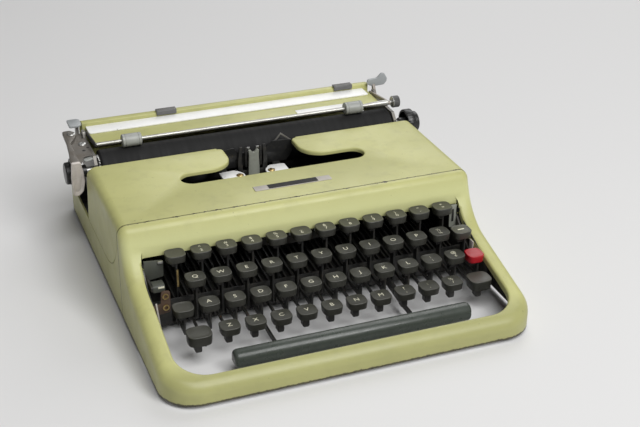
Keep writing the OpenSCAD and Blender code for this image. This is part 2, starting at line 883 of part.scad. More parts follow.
module carriage_release_lever() {
    x = -end_out - slide_gap;
    color(nickel) stand() {
        side_plate(x - 2.2, x) difference() {
            polygon([[296.5, 60], [303.5, 60], [303.5, 86], [296.5, 86]]);
            translate(release_pivot) circle(r = 1.5 + turn_gap);
        }
        block([x - 8.2, x + 2.1], [292, 306], [84.5, 86.6]);
    }
}

main_casing();
base_plate();
rubber_feet();
left_side_frame();
right_side_frame();
chassis_bushes();
lever_comb();
fulcrum_rod();
carriage_rail();
type_guide();
shift_guide_posts();
spool_brackets();
warning_bell();
ribbon_cover();
badge_plate();
type_segment();
type_bars();
ribbon_vibrator();
left_ribbon_spool();
right_ribbon_spool();
mainspring_drum();
number_row_caps();
number_row_levers();
upper_row_caps();
upper_row_levers();
home_row_caps();
home_row_levers();
lower_row_caps();
lower_row_levers();
space_bar();
space_bar_arms();
left_shift_key();
right_shift_key();
shift_lock_key();
backspace_key();
tabulator_key();
margin_release_key();
ribbon_selector();
carriage_bed();
left_end_plate();
right_end_plate();
paper_table();
margin_scale();
carriage_cover();
platen_roller();
platen_shaft();
left_platen_knob();
right_platen_knob();
line_space_ratchet();
feed_roller();
line_space_lever();
paper_bail();
bail_knob();
left_bail_roller();
right_bail_roller();
left_margin_stop();
right_margin_stop();
paper_release_lever();
carriage_release_lever();
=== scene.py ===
"""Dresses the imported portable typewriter: modelled pieces, finishes, studio and camera."""

import json
import math

import bmesh
import bpy
from bpy.props import FloatProperty, FloatVectorProperty, PointerProperty
from mathutils import Matrix, Vector


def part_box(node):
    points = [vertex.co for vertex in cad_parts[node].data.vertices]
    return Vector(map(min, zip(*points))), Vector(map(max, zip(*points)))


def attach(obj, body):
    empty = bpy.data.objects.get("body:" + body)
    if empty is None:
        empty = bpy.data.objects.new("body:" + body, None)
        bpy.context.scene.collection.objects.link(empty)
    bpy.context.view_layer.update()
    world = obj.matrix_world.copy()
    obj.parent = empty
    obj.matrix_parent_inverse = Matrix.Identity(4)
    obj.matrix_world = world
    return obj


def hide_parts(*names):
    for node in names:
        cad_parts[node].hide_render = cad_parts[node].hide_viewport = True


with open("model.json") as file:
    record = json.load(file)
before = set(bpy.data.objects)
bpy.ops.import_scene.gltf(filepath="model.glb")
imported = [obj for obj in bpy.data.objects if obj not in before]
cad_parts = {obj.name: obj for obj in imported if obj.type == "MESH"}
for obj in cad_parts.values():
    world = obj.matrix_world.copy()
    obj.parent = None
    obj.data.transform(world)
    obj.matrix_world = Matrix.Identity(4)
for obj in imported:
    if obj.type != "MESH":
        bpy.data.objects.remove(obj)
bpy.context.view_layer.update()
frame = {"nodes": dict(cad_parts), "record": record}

bl_info = {
    "name": "Portable typewriter",
    "version": (1, 0, 0),
    "blender": (4, 5, 0),
    "location": "View3D > Sidebar > Typewriter",
    "description": "Models and finishes the pieces of a portable typewriter around its solids",
    "category": "Object",
}

MM = 0.001
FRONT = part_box("main_casing")[0].y
HOME = -FRONT / MM

# Casing, in millimetres: y runs back from the front edge, z up from the table
CASE_HALF = 138
CASE_DEPTH = 322
DECK = 78
TRAY = 28
FOOT = 3
LIP = 17.8
KNEE = (106.8, 45.4)
ROOF = (119.5, DECK)
SEAM = 125
SEAM_RADIUS = 50
WELL = (125, 10.2, 113.5)  # half width, front edge, rear edge
WORN_WELL = (62.7, 50.8)  # middle and half depth of the rubbed edge
WELL_ENDS = 123.4

# Keys
CAP = (14.6, 13.6)  # width, depth
CAP_TALL = 6
SKIRT = 5.6
STUB = 4.2
LONG_STUB = 7.6
FULCRUM = (212, 24)

# Carriage and printing point
PLATEN = (247.1, 66.5)  # y and z of its axis
KNOB_HOLLOW = 0.84
BAIL = (248.2, 87)
GUIDE = -4
LINE_LEVER = (-138.5, 284)


# Places

def at(x, y, z):
    """Point in metres from millimetres: across, back from the front edge, up from the table."""
    return Vector((x * MM, FRONT + y * MM, z * MM))


def spot(view, depth, a, b):
    """Point of an outline seen from the side, the front or above, at a depth along that view."""
    return at(*{"side": (depth, a, b), "front": (a, depth, b), "plan": (a, b, depth)}[view])


def node_box(node):
    """Lowest and highest corner of a solid in millimetres, with y from the front edge."""
    low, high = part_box(node)
    shift = Vector((0, FRONT, 0))
    return (low - shift) / MM, (high - shift) / MM


def fillet(before, corner, after, radius, steps):
    """Points of the arc that rounds a corner between two neighbours."""
    corner = Vector(corner)
    to_before = (Vector(before) - corner).normalized()
    to_after = (Vector(after) - corner).normalized()
    half = to_before.angle(to_after) / 2
    middle = corner + (to_before + to_after).normalized() * radius / math.sin(half)
    first = corner + to_before * radius / math.tan(half) - middle
    last = corner + to_after * radius / math.tan(half) - middle
    sweep = math.atan2(last.y, last.x) - math.atan2(first.y, first.x)
    sweep = (sweep + math.pi) % math.tau - math.pi
    start = math.atan2(first.y, first.x)
    angles = [start + sweep * i / steps for i in range(steps + 1)]
    return [(middle.x + radius * math.cos(a), middle.y + radius * math.sin(a)) for a in angles]


def rounded(corners, radii, steps):
    """Outline through corners, each rounded by its own radius or all by one."""
    if not isinstance(radii, tuple):
        radii = (radii,) * len(corners)
    line = []
    for i, corner in enumerate(corners):
        if radii[i] <= 0:
            line.append(corner)
            continue
        line += fillet(corners[i - 1], corner, corners[(i + 1) % len(corners)], radii[i], steps)
    return line


def oblong(a, b):
    """Corners of an oblong between two places on each axis."""
    return [(a[0], b[0]), (a[1], b[0]), (a[1], b[1]), (a[0], b[1])]


def twofold(half):
    """Outline of which the right half is given."""
    return half + [(-a, b) for a, b in reversed(half)]


def beside(x, line, side=1):
    """Outline moved across the machine, and turned over for the left side."""
    return [(x + side * a, b) for a, b in line]


def cushion_outline(width, depth, power, count):
    """Rounded square with swelling sides, as pressed key tops have."""
    line = []
    for i in range(count):
        angle = math.tau * i / count
        c, s = math.cos(angle), math.sin(angle)
        reach = (abs(c) ** power + abs(s) ** power) ** (-1 / power)
        line.append((width / 2 * reach * c, depth / 2 * reach * s))
    return line


def fluted(x, centre, radius, depth, flutes):
    """Points of a ring with flutes about a line across the machine."""
    y, z = centre
    ring = []
    for i in range(4 * flutes):
        angle = math.tau * i / (4 * flutes)
        reach = radius - depth * (0.5 - 0.5 * math.cos(flutes * angle))
        ring.append(at(x, y + reach * math.cos(angle), z + reach * math.sin(angle)))
    return ring


# Modelling

def clear():
    """Leaves edit mode with nothing selected."""
    if bpy.context.mode != "OBJECT":
        bpy.ops.object.mode_set(mode="OBJECT")
    bpy.ops.object.select_all(action="DESELECT")


def hold(piece):
    """Makes one piece the only selected and active one."""
    clear()
    piece.select_set(True)
    bpy.context.view_layer.objects.active = piece


def edit(piece):
    hold(piece)
    bpy.ops.object.mode_set(mode="EDIT")


def chain(points):
    """Starts a piece as a chain of edges drawn point by point, and stays in edit mode."""
    clear()
    bpy.ops.mesh.primitive_plane_add(size=MM, location=points[0])
    piece = bpy.context.object
    bpy.ops.object.transform_apply(location=True, rotation=False, scale=False)
    bpy.ops.object.mode_set(mode="EDIT")
    bpy.ops.mesh.select_mode(type="VERT")
    bpy.ops.mesh.select_all(action="SELECT")
    bpy.ops.mesh.merge(type="CENTER")
    for before, after in zip(points, points[1:]):
        step = Vector(after) - Vector(before)
        bpy.ops.mesh.extrude_region_move(TRANSFORM_OT_translate={"value": step})
    bpy.ops.mesh.select_all(action="SELECT")
    return piece


def push(x, y, z):
    """Extrudes what is selected by millimetres."""
    step = Vector((x, y, z)) * MM
    bpy.ops.mesh.extrude_region_move(TRANSFORM_OT_translate={"value": step})


def outward():
    bpy.ops.mesh.select_all(action="SELECT")
    bpy.ops.mesh.normals_make_consistent(inside=False)


def draw_out(points, centre, steps, start=None):
    """Solid drawn out of an outline, whose end moves and is scaled about a centre at each step."""
    piece = chain(points)
    bpy.ops.mesh.edge_face_add()
    if start:
        bpy.ops.transform.resize(value=start, center_override=centre)
    for step, ratio in steps:
        push(*step)
        bpy.ops.transform.resize(value=ratio, center_override=centre)
    outward()
    return piece


def across(steps, side=1):
    """Steps of draw_out along x, from lengths and ratios of the section."""
    return [((side * step, 0, 0), (1, ratio, ratio)) for step, ratio in steps]


def upwards(width, depth, start, steps):
    """Steps of draw_out along z, from heights and their insets from the full size."""
    height, inset = start
    for high, narrow in steps:
        ratios = [(size - 2 * narrow) / (size - 2 * inset) for size in (width, depth)]
        yield (0, 0, high - height), (*ratios, 1)
        height, inset = high, narrow


def prism(view, span, line):
    """Solid between two depths from an outline seen from the side, the front or above."""
    piece = chain([spot(view, span[0], a, b) for a, b in line])
    bpy.ops.mesh.edge_face_add()
    long = span[1] - span[0]
    push(*{"side": (long, 0, 0), "front": (0, long, 0), "plan": (0, 0, long)}[view])
    outward()
    return piece


def lathe(points, centre, axis, steps):
    """Solid turned from a profile whose ends lie on the axis or meet each other."""
    piece = chain(points)
    bpy.ops.mesh.spin(steps=steps, angle=math.tau, center=centre, axis=axis, use_auto_merge=True)
    bpy.ops.mesh.select_all(action="SELECT")
    bpy.ops.mesh.remove_doubles(threshold=1e-6)
    outward()
    return piece


def cross_turned(profile, centre, steps=48, side=1):
    """Solid turned about a line across the machine, from places along x and radii."""
    y, z = centre
    points = [at(side * x, y + r, z) for x, r in profile]
    return lathe(points, at(0, y, z), (1, 0, 0), steps)


def upright_turned(profile, x, y, steps=24):
    """Solid turned about an upright line, from radii and heights."""
    points = [at(x + r, y, z) for r, z in profile]
    return lathe(points, at(x, y, 0), (0, 0, 1), steps)


def pick(kind, test):
    """Selects the vertices, edges or faces of the edited piece that pass a test."""
    bpy.ops.mesh.select_mode(type=kind)
    bpy.ops.mesh.select_all(action="DESELECT")
    piece = bpy.context.edit_object
    shape = bmesh.from_edit_mesh(piece.data)
    shape.normal_update()
    parts = {"VERT": shape.verts, "EDGE": shape.edges, "FACE": shape.faces}[kind]
    chosen = [part for part in parts if test(part)]
    for part in chosen:
        part.select_set(True)
    shape.select_flush_mode()
    bmesh.update_edit_mesh(piece.data)
    return len(chosen)


def middle(part):
    """Middle of an edge or face in millimetres, with y from the front edge."""
    total = sum((v.co for v in part.verts), Vector()) / len(part.verts)
    return Vector((total.x, total.y - FRONT, total.z)) / MM


def along(edge):
    """Direction of an edge."""
    a, b = edge.verts
    return (a.co - b.co).normalized()


def bevel(width, steps):
    """Rounds the selected edges."""
    bpy.ops.mesh.bevel(
        offset=width * MM, segments=steps, affect="EDGES", clamp_overlap=False, loop_slide=True)


def soften(width, steps, least):
    """Rounds all edges of the edited piece whose faces meet at a clear angle, in degrees."""
    def sharp(edge):
        return len(edge.link_faces) == 2 and edge.calc_face_angle(0) > math.radians(least)

    if pick("EDGE", sharp):
        bevel(width, steps)


def shape_with(piece, kind, **settings):
    """Applies a modifier to a piece."""
    hold(piece)
    modifier = piece.modifiers.new(kind.title(), kind)
    for key, value in settings.items():
        setattr(modifier, key, value)
    bpy.ops.object.modifier_apply(modifier=modifier.name)


def coat(piece, slot, smooth=35):
    """Gives a piece its finish and smooth shading up to an angle."""
    hold(piece)
    piece.data.materials.clear()
    piece.data.materials.append(finish(slot))
    if smooth:
        bpy.ops.object.shade_smooth_by_angle(angle=math.radians(smooth))
    return piece


def thicken(piece, skin, inner_finish):
    """Gives an open skin the thickness of its sheet, inwards, and a finish for either side."""
    edit(piece)
    bpy.ops.mesh.select_all(action="SELECT")
    bpy.ops.mesh.remove_doubles(threshold=0.02 * MM)
    bpy.ops.mesh.dissolve_degenerate(threshold=0.01 * MM)
    coat(piece, skin, 0)
    # The inner faces of the shell take the second finish
    piece.data.materials.append(finish(inner_finish))
    shape_with(
        piece, "SOLIDIFY", thickness=millimetres("sheet") * MM, offset=-1, use_even_offset=False,
        material_offset=1)
    bpy.ops.object.shade_smooth_by_angle(angle=math.radians(40))


def carve(piece, cutter):
    """Cuts one piece by another, which is used up."""
    clear()
    shape_with(piece, "BOOLEAN", object=cutter, operation="DIFFERENCE", solver="EXACT")
    bpy.data.objects.remove(cutter)


def copy_of(piece, x, y, z):
    """Copy with its own mesh, moved by millimetres."""
    twin = piece.copy()
    twin.data = piece.data.copy()
    twin.data.transform(Matrix.Translation(Vector((x, y, z)) * MM))
    bpy.context.collection.objects.link(twin)
    return twin


def set_at(master, x, y, top):
    """Copy of a piece that was modelled with its top at the origin."""
    return copy_of(master, x, FRONT / MM + y, top)


def join(pieces):
    """Joins pieces into the first one."""
    clear()
    for piece in pieces:
        piece.select_set(True)
    bpy.context.view_layer.objects.active = pieces[0]
    if len(pieces) > 1:
        bpy.ops.object.join()
    return pieces[0]


def seat(name, pieces, body, slot, *nodes):
    """Joins finished pieces, hands them to their body, and hides the solids they stand for."""
    piece = join(pieces)
    piece.name = name
    clear()
    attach(piece, body)
    if nodes:
        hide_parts(*nodes)


def slab(slot, view, span, corners, radii=0, steps=3, edge=0.2, turns=2, least=50):
    """Finished prism of a rounded outline with softened edges."""
    piece = prism(view, span, rounded(corners, radii, steps))
    soften(edge, turns, least)
    return coat(piece, slot)


def bar(slot, x, y, z, edge=0.3):
    """Finished straight bar between two places on each axis."""
    return slab(slot, "plan", z, oblong(x, y), edge=edge)


def screw_head(slot, radius):
    """Models a slotted screw head with its top at the origin."""
    head = upright_turned([
        (0, -1.6), (radius, -1.6), (radius, -0.6), (radius * 0.92, -0.25), (radius * 0.7, 0), (0, 0)],
        0, HOME, 28)
    reach, half = radius * 0.8, 0.35
    slit = [(reach - half, reach + half), (reach + half, reach - half)]
    slit += [(-x, -y) for x, y in slit]
    carve(head, prism("plan", (-0.7, 1), [(x, HOME + y) for x, y in slit]))
    return coat(head, slot)


def letters(text, place, size):
    """Raised lettering on a level surface."""
    clear()
    bpy.ops.object.text_add(location=place)
    words = bpy.context.object
    words.data.body = text
    words.data.size = size * MM
    words.data.align_x = "CENTER"
    words.data.align_y = "CENTER"
    words.data.resolution_u = 3
    words.data.extrude = 0.03 * MM
    words.data.materials.append(finish("legend"))
    bpy.ops.object.convert(target="MESH")
    bpy.ops.object.transform_apply(location=True, rotation=True, scale=True)
    return bpy.context.object


# Finishes

class Finish:
    """A material being built, with short calls for its nodes."""

    def __init__(self, name, colour=(1, 1, 1)):
        self.material = bpy.data.materials.new(name)
        self.material.use_nodes = True
        self.tree = self.material.node_tree
        self.shader = self.tree.nodes["Principled BSDF"]
        self.place = self.tree.nodes.new("ShaderNodeTexCoord").outputs["Object"]
        self.base = solid_colour(colour)

    def node(self, kind, values):
        """New node with a value or a link for each socket that is named or numbered."""
        made = self.tree.nodes.new("ShaderNode" + kind)
        for key, value in values.items():
            self.feed(made.inputs[key], value)
        return made

    def feed(self, socket, value):
        if isinstance(value, bpy.types.NodeSocket):
            self.tree.links.new(value, socket)
        else:
            socket.default_value = value

    def set(self, name, value):
        self.feed(self.shader.inputs[name], value)

    def stretched(self, scale):
        """Object coordinates scaled along each axis."""
        return self.node("Mapping", {"Vector": self.place, "Scale": scale}).outputs["Vector"]

    def noise(self, scale, detail=3.0, rough=0.55, vector=None):
        return self.node("TexNoise", {
            "Vector": vector or self.place, "Scale": scale, "Detail": detail,
            "Roughness": rough}).outputs["Fac"]

    def axes(self):
        return self.node("SeparateXYZ", {0: self.place}).outputs

    def math(self, operation, first, second=0.0):
        made = self.node("Math", {0: first, 1: second})
        made.operation = operation
        return made.outputs[0]

    def away(self, value, place):
        """Distance of a value from a place."""
        return self.math("ABSOLUTE", self.math("SUBTRACT", value, place))

    def spread(self, value, low, high, first=0.0, last=1.0):
        """Maps a range of a value to another range and stops at its ends."""
        return self.node("MapRange", {
            "Value": value, "From Min": low, "From Max": high, "To Min": first,
            "To Max": last}).outputs["Result"]

    def mix(self, factor, first, second):
        made = self.tree.nodes.new("ShaderNodeMix")
        made.data_type = "RGBA"
        for number, value in ((0, factor), (6, first), (7, second)):
            self.feed(made.inputs[number], value)
        return made.outputs[2]

    def stain(self, colour, tint, noise, low, high, most=1.0):
        """Colour with patches of a tint where a noise passes from low to high."""
        return self.mix(self.spread(self.noise(*noise), low, high, 0, most), colour, tint)

    def roughen(self, pattern, low, high, top=0.7):
        self.set("Roughness", self.spread(pattern, 0.3, top, low, high))

    def bump(self, height, strength, depth):
        """Relief of a depth in millimetres."""
        made = self.node("Bump", {"Strength": strength, "Distance": depth * MM, "Height": height})
        self.set("Normal", made.outputs["Normal"])


def solid_colour(colour):
    return tuple(colour[:3]) + (1,)


def shade(colour, factor):
    """Colour made darker or lighter."""
    return solid_colour([min(1, c * factor) for c in colour[:3]])


def enamel_wear_and_shade(finish):
    """Where paint has rubbed off: along the bottom edge, the seam and the well, with a ragged dark band
    along the bottom edge that is partly wear and partly painted shadow of the gap under the casing.
    """
    x, y, z = finish.axes()
    low_edge = finish.spread(z, 6 * MM, 3 * MM)
    seam = finish.away(y, at(0, SEAM, 0).y)
    along_seam = finish.spread(seam, 2.4 * MM, 0.3 * MM)
    heart, reach = WORN_WELL
    aside = finish.math("SUBTRACT", finish.math("ABSOLUTE", x), WELL[0] * MM)
    depth = finish.away(y, at(0, heart, 0).y)
    well = finish.math("MAXIMUM", aside, finish.math("SUBTRACT", depth, reach * MM))
    well_edge = finish.spread(finish.math("ABSOLUTE", well), 3 * MM, 0.2 * MM, 0, 0.25)
    worn = finish.math("MAXIMUM", finish.math("MAXIMUM", low_edge, along_seam), well_edge)
    ragged = finish.noise(260, 6, 0.7)
    dark_marks = finish.spread(finish.math("ADD", ragged, finish.math("MULTIPLY", worn, 0.24)), 0.755, 0.785)
    dark_marks = finish.math("MAXIMUM", dark_marks, finish.spread(seam, 0.8 * MM, 0.5 * MM, 0, 0.7))
    # Ragged dark band along the bottom edge: partly worn paint, partly painted shadow of the gap under the
    # casing
    shaded_worn_bottom = finish.math("SUBTRACT", z, finish.math("MULTIPLY", ragged, 3 * MM))
    return finish.math("MAXIMUM", dark_marks, finish.spread(shaded_worn_bottom, 3.2 * MM, 2.7 * MM, 0, 0.9))


def green_paint(name, paint, grime):
    """Yellow-green stove enamel, patchy with age, specked and chipped at the edges, with painted shade on
    the front rim and along the bottom edge and a painted highlight band on the shoulder.
    """
    finish = Finish(name, paint)
    base = finish.base
    colour = finish.stain(shade(base, 1.05), shade(base, 0.92), (14, 3), 0.35, 0.7)
    colour = finish.stain(colour, solid_colour(grime), (85, 6, 0.65), 0.5, 0.78, 0.22)
    colour = finish.stain(colour, shade(base, 0.3), (520, 2), 0.73, 0.77, 0.75)
    _, y, z = finish.axes()
    # Painted shade: the enamel darkens towards the front rim
    front = finish.spread(y, at(0, 24, 0).y, at(0, 10, 0).y, 0, 0.5)
    colour = finish.mix(front, colour, shade(base, 0.55))
    # Painted highlight: a paler band across the shoulder roll, in place of its sheen
    painted_highlight_band = finish.spread(y, at(0, 122, 0).y, at(0, 118, 0).y, 0, 0.8)
    height = finish.spread(finish.away(z, 63 * MM), 16 * MM, 4 * MM)
    colour = finish.mix(finish.math("MULTIPLY", painted_highlight_band, height), colour, (0.60, 0.61, 0.30, 1))
    # Chips, the seam line and the bottom band, which is partly painted shadow, in a dark primer colour
    dark_marks = enamel_wear_and_shade(finish)
    finish.set("Base Color", finish.mix(dark_marks, colour, (0.045, 0.038, 0.028, 1)))
    finish.roughen(finish.noise(60, 4), 0.3, 0.44)
    finish.set("Specular IOR Level", 0.38)
    peel = finish.noise(700, 2, 0.5)
    finish.bump(finish.math("SUBTRACT", peel, finish.math("MULTIPLY", dark_marks, 2.0)), 0.25, 0.06)
    return finish.material


def moulded(name, colour, grime, rough):
    """Moulded plastic with a faint grain, dust and rubbed patches."""
    finish = Finish(name, colour)
    tone = finish.stain(shade(finish.base, 1.12), shade(finish.base, 0.86), (70, 4), 0.3, 0.75)
    tone = finish.stain(tone, solid_colour(grime), (330, 5, 0.7), 0.52, 0.8, 0.3)
    finish.set("Base Color", tone)
    finish.roughen(finish.noise(120, 4), rough - 0.08, rough + 0.12, 0.75)
    finish.bump(finish.noise(1900, 2, 0.6), 0.22, 0.05)
    return finish.material


def bare_metal(name, colour, rough, stretch, tarnish, metallic=1.0):
    """Plated or bare metal with fine lines along its length and brown tarnish."""
    finish = Finish(name, colour)
    lines = finish.noise(900, 3, 0.6, finish.stretched(stretch))
    tone = finish.mix(lines, shade(finish.base, 0.86), shade(finish.base, 1.1))
    tone = finish.stain(tone, (0.12, 0.085, 0.05, 1), (110, 5, 0.65), 0.5, 0.76, tarnish)
    finish.set("Base Color", tone)
    finish.set("Metallic", metallic)
    finish.roughen(lines, rough - 0.07, rough + 0.1)
    finish.bump(lines, 0.1, 0.03)
    return finish.material


def dark_enamel(name, colour):
    """Black chassis enamel, dusty and worn to brown in places."""
    finish = Finish(name, colour)
    tone = finish.stain(finish.base, (0.075, 0.066, 0.05, 1), (160, 6, 0.65), 0.46, 0.75, 0.5)
    tone = finish.stain(tone, (0.11, 0.05, 0.022, 1), (240, 4), 0.68, 0.74, 0.7)
    finish.set("Base Color", tone)
    finish.roughen(finish.noise(200, 3), 0.42, 0.66)
    finish.bump(finish.noise(1300, 3), 0.2, 0.05)
    return finish.material


def platen_rubber(name, colour):
    """Charcoal rubber with rings from turning and grey type marks."""
    finish = Finish(name, colour)
    rings = finish.noise(420, 3, 0.6, finish.stretched((1, 0.05, 0.05)))
    tone = finish.mix(rings, shade(finish.base, 0.8), shade(finish.base, 1.25))
    tone = finish.stain(tone, (0.09, 0.09, 0.085, 1), (600, 4, 0.7), 0.66, 0.75, 0.35)
    finish.set("Base Color", tone)
    finish.roughen(rings, 0.6, 0.8)
    finish.set("Specular IOR Level", 0.25)
    finish.bump(rings, 0.12, 0.05)
    return finish.material


def white_paint(name, colour):
    """White enamel, yellowed and rubbed."""
    finish = Finish(name, colour)
    tone = finish.stain(finish.base, shade(finish.base, 0.78), (40, 5, 0.6), 0.4, 0.75, 0.4)
    tone = finish.stain(tone, (0.16, 0.15, 0.12, 1), (480, 4, 0.65), 0.68, 0.73, 0.7)
    finish.set("Base Color", tone)
    finish.roughen(finish.noise(150, 3), 0.3, 0.45)
    finish.bump(finish.noise(900, 2), 0.12, 0.04)
    return finish.material


def finish_table(colours):
    """Maker and values of each finish, by the name of its material slot."""
    dust = colours.grime_dark
    return {
        "green_paint": (green_paint, colours.paint, colours.grime),
        "black_paint": (dark_enamel, colours.chassis),
        "chassis_steel": (bare_metal, (0.09, 0.087, 0.08), 0.45, (1, 0.1, 0.1), 0.6, 0.6),
        "bright_metal": (bare_metal, colours.nickel, 0.34, (0.05, 1, 1), 0.35, 0.9),
        "grey_metal": (bare_metal, (0.24, 0.23, 0.21), 0.46, (0.1, 1, 1), 0.4, 0.45),
        "aluminium": (bare_metal, (0.7, 0.71, 0.7), 0.36, (0.1, 1, 1), 0.15),
        "rubber": (moulded, (0.03, 0.03, 0.03), (0.08, 0.075, 0.06), 0.7),
        "platen_rubber": (platen_rubber, colours.platen),
        "key_plastic": (moulded, colours.keys, dust, 0.36),
        # Darker copy of the key plastic: painted shade for the key sides, which get less light than the
        # tops
        "key_shaded_side": (moulded, shade(colours.keys, 0.5), shade(dust, 0.5), 0.4),
        "bar_plastic": (moulded, colours.bar, dust, 0.3),
        "red_plastic": (moulded, colours.red, (0.2, 0.04, 0.04), 0.34),
        "black_plastic": (moulded, (0.014, 0.014, 0.014), dust, 0.33),
        "white_paint": (white_paint, colours.white),
        "legend": (moulded, colours.legend, (0.3, 0.28, 0.2), 0.6),
        "pale_plastic": (moulded, colours.pale, (0.2, 0.19, 0.16), 0.34),
        "brass": (bare_metal, (0.62, 0.46, 0.2), 0.34, (1, 0.1, 1), 0.5),
        "guide_grey": (moulded, (0.27, 0.28, 0.24), (0.12, 0.11, 0.09), 0.4),
        "stop_grey": (moulded, (0.13, 0.13, 0.13), (0.2, 0.19, 0.17), 0.45),
        "knob_grey": (moulded, (0.07, 0.07, 0.07), (0.14, 0.13, 0.12), 0.4),
        "well_grey": (moulded, (0.075, 0.08, 0.066), (0.05, 0.045, 0.035), 0.45),
        "wing_grey": (moulded, (0.36, 0.38, 0.385), (0.2, 0.19, 0.17), 0.36),
        "worn_steel": (bare_metal, (0.19, 0.175, 0.155), 0.42, (1, 0.1, 1), 0.5, 0.3),
        "badge_silver": (moulded, (0.47, 0.44, 0.40), (0.3, 0.28, 0.24), 0.55),
        "flat_black": (moulded, (0.02, 0.02, 0.02), (0.05, 0.048, 0.04), 0.7),
        "arm_brown": (moulded, (0.34, 0.30, 0.26), (0.12, 0.1, 0.08), 0.4),
        "rod_metal": (bare_metal, (0.46, 0.455, 0.43), 0.36, (0.05, 1, 1), 0.4, 0.75),
        "rust": (moulded, (0.09, 0.055, 0.036), (0.05, 0.04, 0.03), 0.6),
        "roller_grey": (moulded, (0.36, 0.37, 0.35), (0.2, 0.19, 0.16), 0.38),
    }


def finish(slot):
    """Material of a finish, made when it is first asked for."""
    name = slot + "_finish"
    maker, *values = finish_table(bpy.context.scene.typewriter_colours)[slot]
    return bpy.data.materials.get(name) or maker(name, *values)


# Values that a user may change

class TypewriterSizes(bpy.types.PropertyGroup):
    """Sizes of the modelled pieces."""

    def size(name, description, default):
        return FloatProperty(name=name, description=description, default=default * MM, unit="LENGTH")

    casing_edge: size("Casing edge", "Radius of the casing's upper outer edges", 7.6)
    well_roll: size("Well roll", "Rolled edge round the keyboard well", 2.2)
    well_flange: size("Well flange", "Height of the turned-down edge of the well", 3.4)
    sheet: size("Sheet", "Thickness of the sheet metal", 1.5)
    slot_roll: size("Slot roll", "Rolled edge round the type slot", 1.3)
    cap_edge: size("Key edge", "Rounding of a key's upper edge", 0.5)
    cap_dish: size("Key dish", "Depth of the hollow in a key's top", 0.3)
    legend_size: size("Legend", "Height of the letters on the keys", 5.6)

    del size


class TypewriterColours(bpy.types.PropertyGroup):
    """Colours of the finishes."""

    def colour(name, description, *default):
        return FloatVectorProperty(
            name=name, description=description, default=default, size=3, min=0, max=1, subtype="COLOR")

    paint: colour("Paint", "Enamel of casing and cover", 0.51, 0.505, 0.212)
    grime: colour("Grime", "Dirt in the enamel", 0.20, 0.19, 0.10)
    chassis: colour("Chassis", "Dark enamel of the inner parts", 0.018, 0.018, 0.017)
    platen: colour("Platen", "Rubber of the platen", 0.014, 0.014, 0.014)
    keys: colour("Keys", "Plastic of the keys", 0.056, 0.056, 0.045)
    grime_dark: colour("Key grime", "Dust on dark plastic", 0.10, 0.095, 0.075)
    bar: colour("Space bar", "Plastic of the space bar", 0.056, 0.066, 0.056)
    red: colour("Red key", "Plastic of the tabulator key", 0.37, 0.006, 0.014)
    legend: colour("Legend", "Letters on the keys", 0.74, 0.72, 0.56)
    white: colour("White", "Margin scale and guide plates", 0.92, 0.92, 0.90)
    pale: colour("Pale plastic", "Finger piece of the line lever", 0.62, 0.57, 0.53)
    nickel: colour("Nickel", "Bright plated parts", 0.66, 0.66, 0.64)

    del colour


def millimetres(name):
    return getattr(bpy.context.scene.typewriter_sizes, name) / MM


def seam_arc(radius, turns):
    """Points of the curved seam between casing and cover, in steps of 7.5 degrees from the deck."""
    angles = [math.radians(7.5 * i) for i in turns]
    return [(SEAM + SEAM_RADIUS - radius * math.cos(a), DECK - radius * math.sin(a)) for a in angles]


class TYPEWRITER_OT_casing(bpy.types.Operator):
    """Models the pressed casing with its rolled keyboard well"""

    bl_idname = "typewriter.casing"
    bl_label = "Casing"

    def execute(self, context):
        line = [(0, FOOT), (0, LIP)]
        line += fillet((0, LIP), KNEE, ROOF, 40, 16)
        line += fillet(KNEE, ROOF, (SEAM, DECK), 7, 6)
        line += [(SEAM, DECK)] + seam_arc(SEAM_RADIUS, range(1, 13))
        line += [(CASE_DEPTH, TRAY), (CASE_DEPTH, FOOT)]
        casing = prism("side", (-CASE_HALF, CASE_HALF), line)
        for y, radius, steps in ((0, 26, 12), (CASE_DEPTH, 14, 8)):
            pick("EDGE", lambda edge: abs(along(edge).z) > 0.99 and abs(middle(edge).y - y) < 0.1)
            bevel(radius, steps)
        half, near, far = WELL
        well = rounded(oblong((-half, half), (near, far)), (22, 22, 4, 4), 10)
        carve(casing, prism("plan", (-20, 120), well))
        edit(casing)
        outward()
        heart = Vector((0, 62, 0))

        def wall(face, sign):
            away = middle(face) - heart
            away.z = 0
            return abs(face.normal.z) < 0.1 and face.normal.dot(away) * sign > 0

        def rim(edge, sign):
            reach = SEAM - 0.2 if sign > 0 else far - 4.1
            if len(edge.link_faces) != 2 or middle(edge).y > reach:
                return False
            a, b = edge.link_faces
            return any(wall(p, sign) and q.normal.z > 0.15 for p, q in ((a, b), (b, a)))

        for sign, size, steps in ((1, "casing_edge", 8), (-1, "well_roll", 6)):
            pick("EDGE", lambda edge: rim(edge, sign))
            bevel(millimetres(size), steps)

        def unseen(face):
            place = middle(face)
            if face.normal.z < -0.9:
                return True
            if place.y > SEAM + 0.05 and face.normal.z > 0.02:
                return True
            inside = abs(place.x) < half + 0.5 and near - 0.5 < place.y < far - 1
            return inside and abs(face.normal.z) < 0.05 and wall(face, -1)

        pick("FACE", unseen)
        bpy.ops.mesh.delete(type="FACE")
        pick("FACE", lambda face: wall(face, -1) and abs(middle(face).y - far) < 1.2)
        bpy.ops.mesh.bisect(
            plane_co=at(0, 0, 55.5), plane_no=(0, 0, 1), clear_inner=True, clear_outer=False)

        def well_edge(edge):
            place = middle(edge)
            return edge.is_boundary and abs(place.x) < half + 1 and near - 1 < place.y < far - 2

        pick("EDGE", well_edge)
        push(0, 0, -millimetres("well_flange"))
        thicken(casing, "green_paint", "black_paint")
        seat("casing", [casing], "machine_frame", "green_paint", "main_casing")
        return {"FINISHED"}


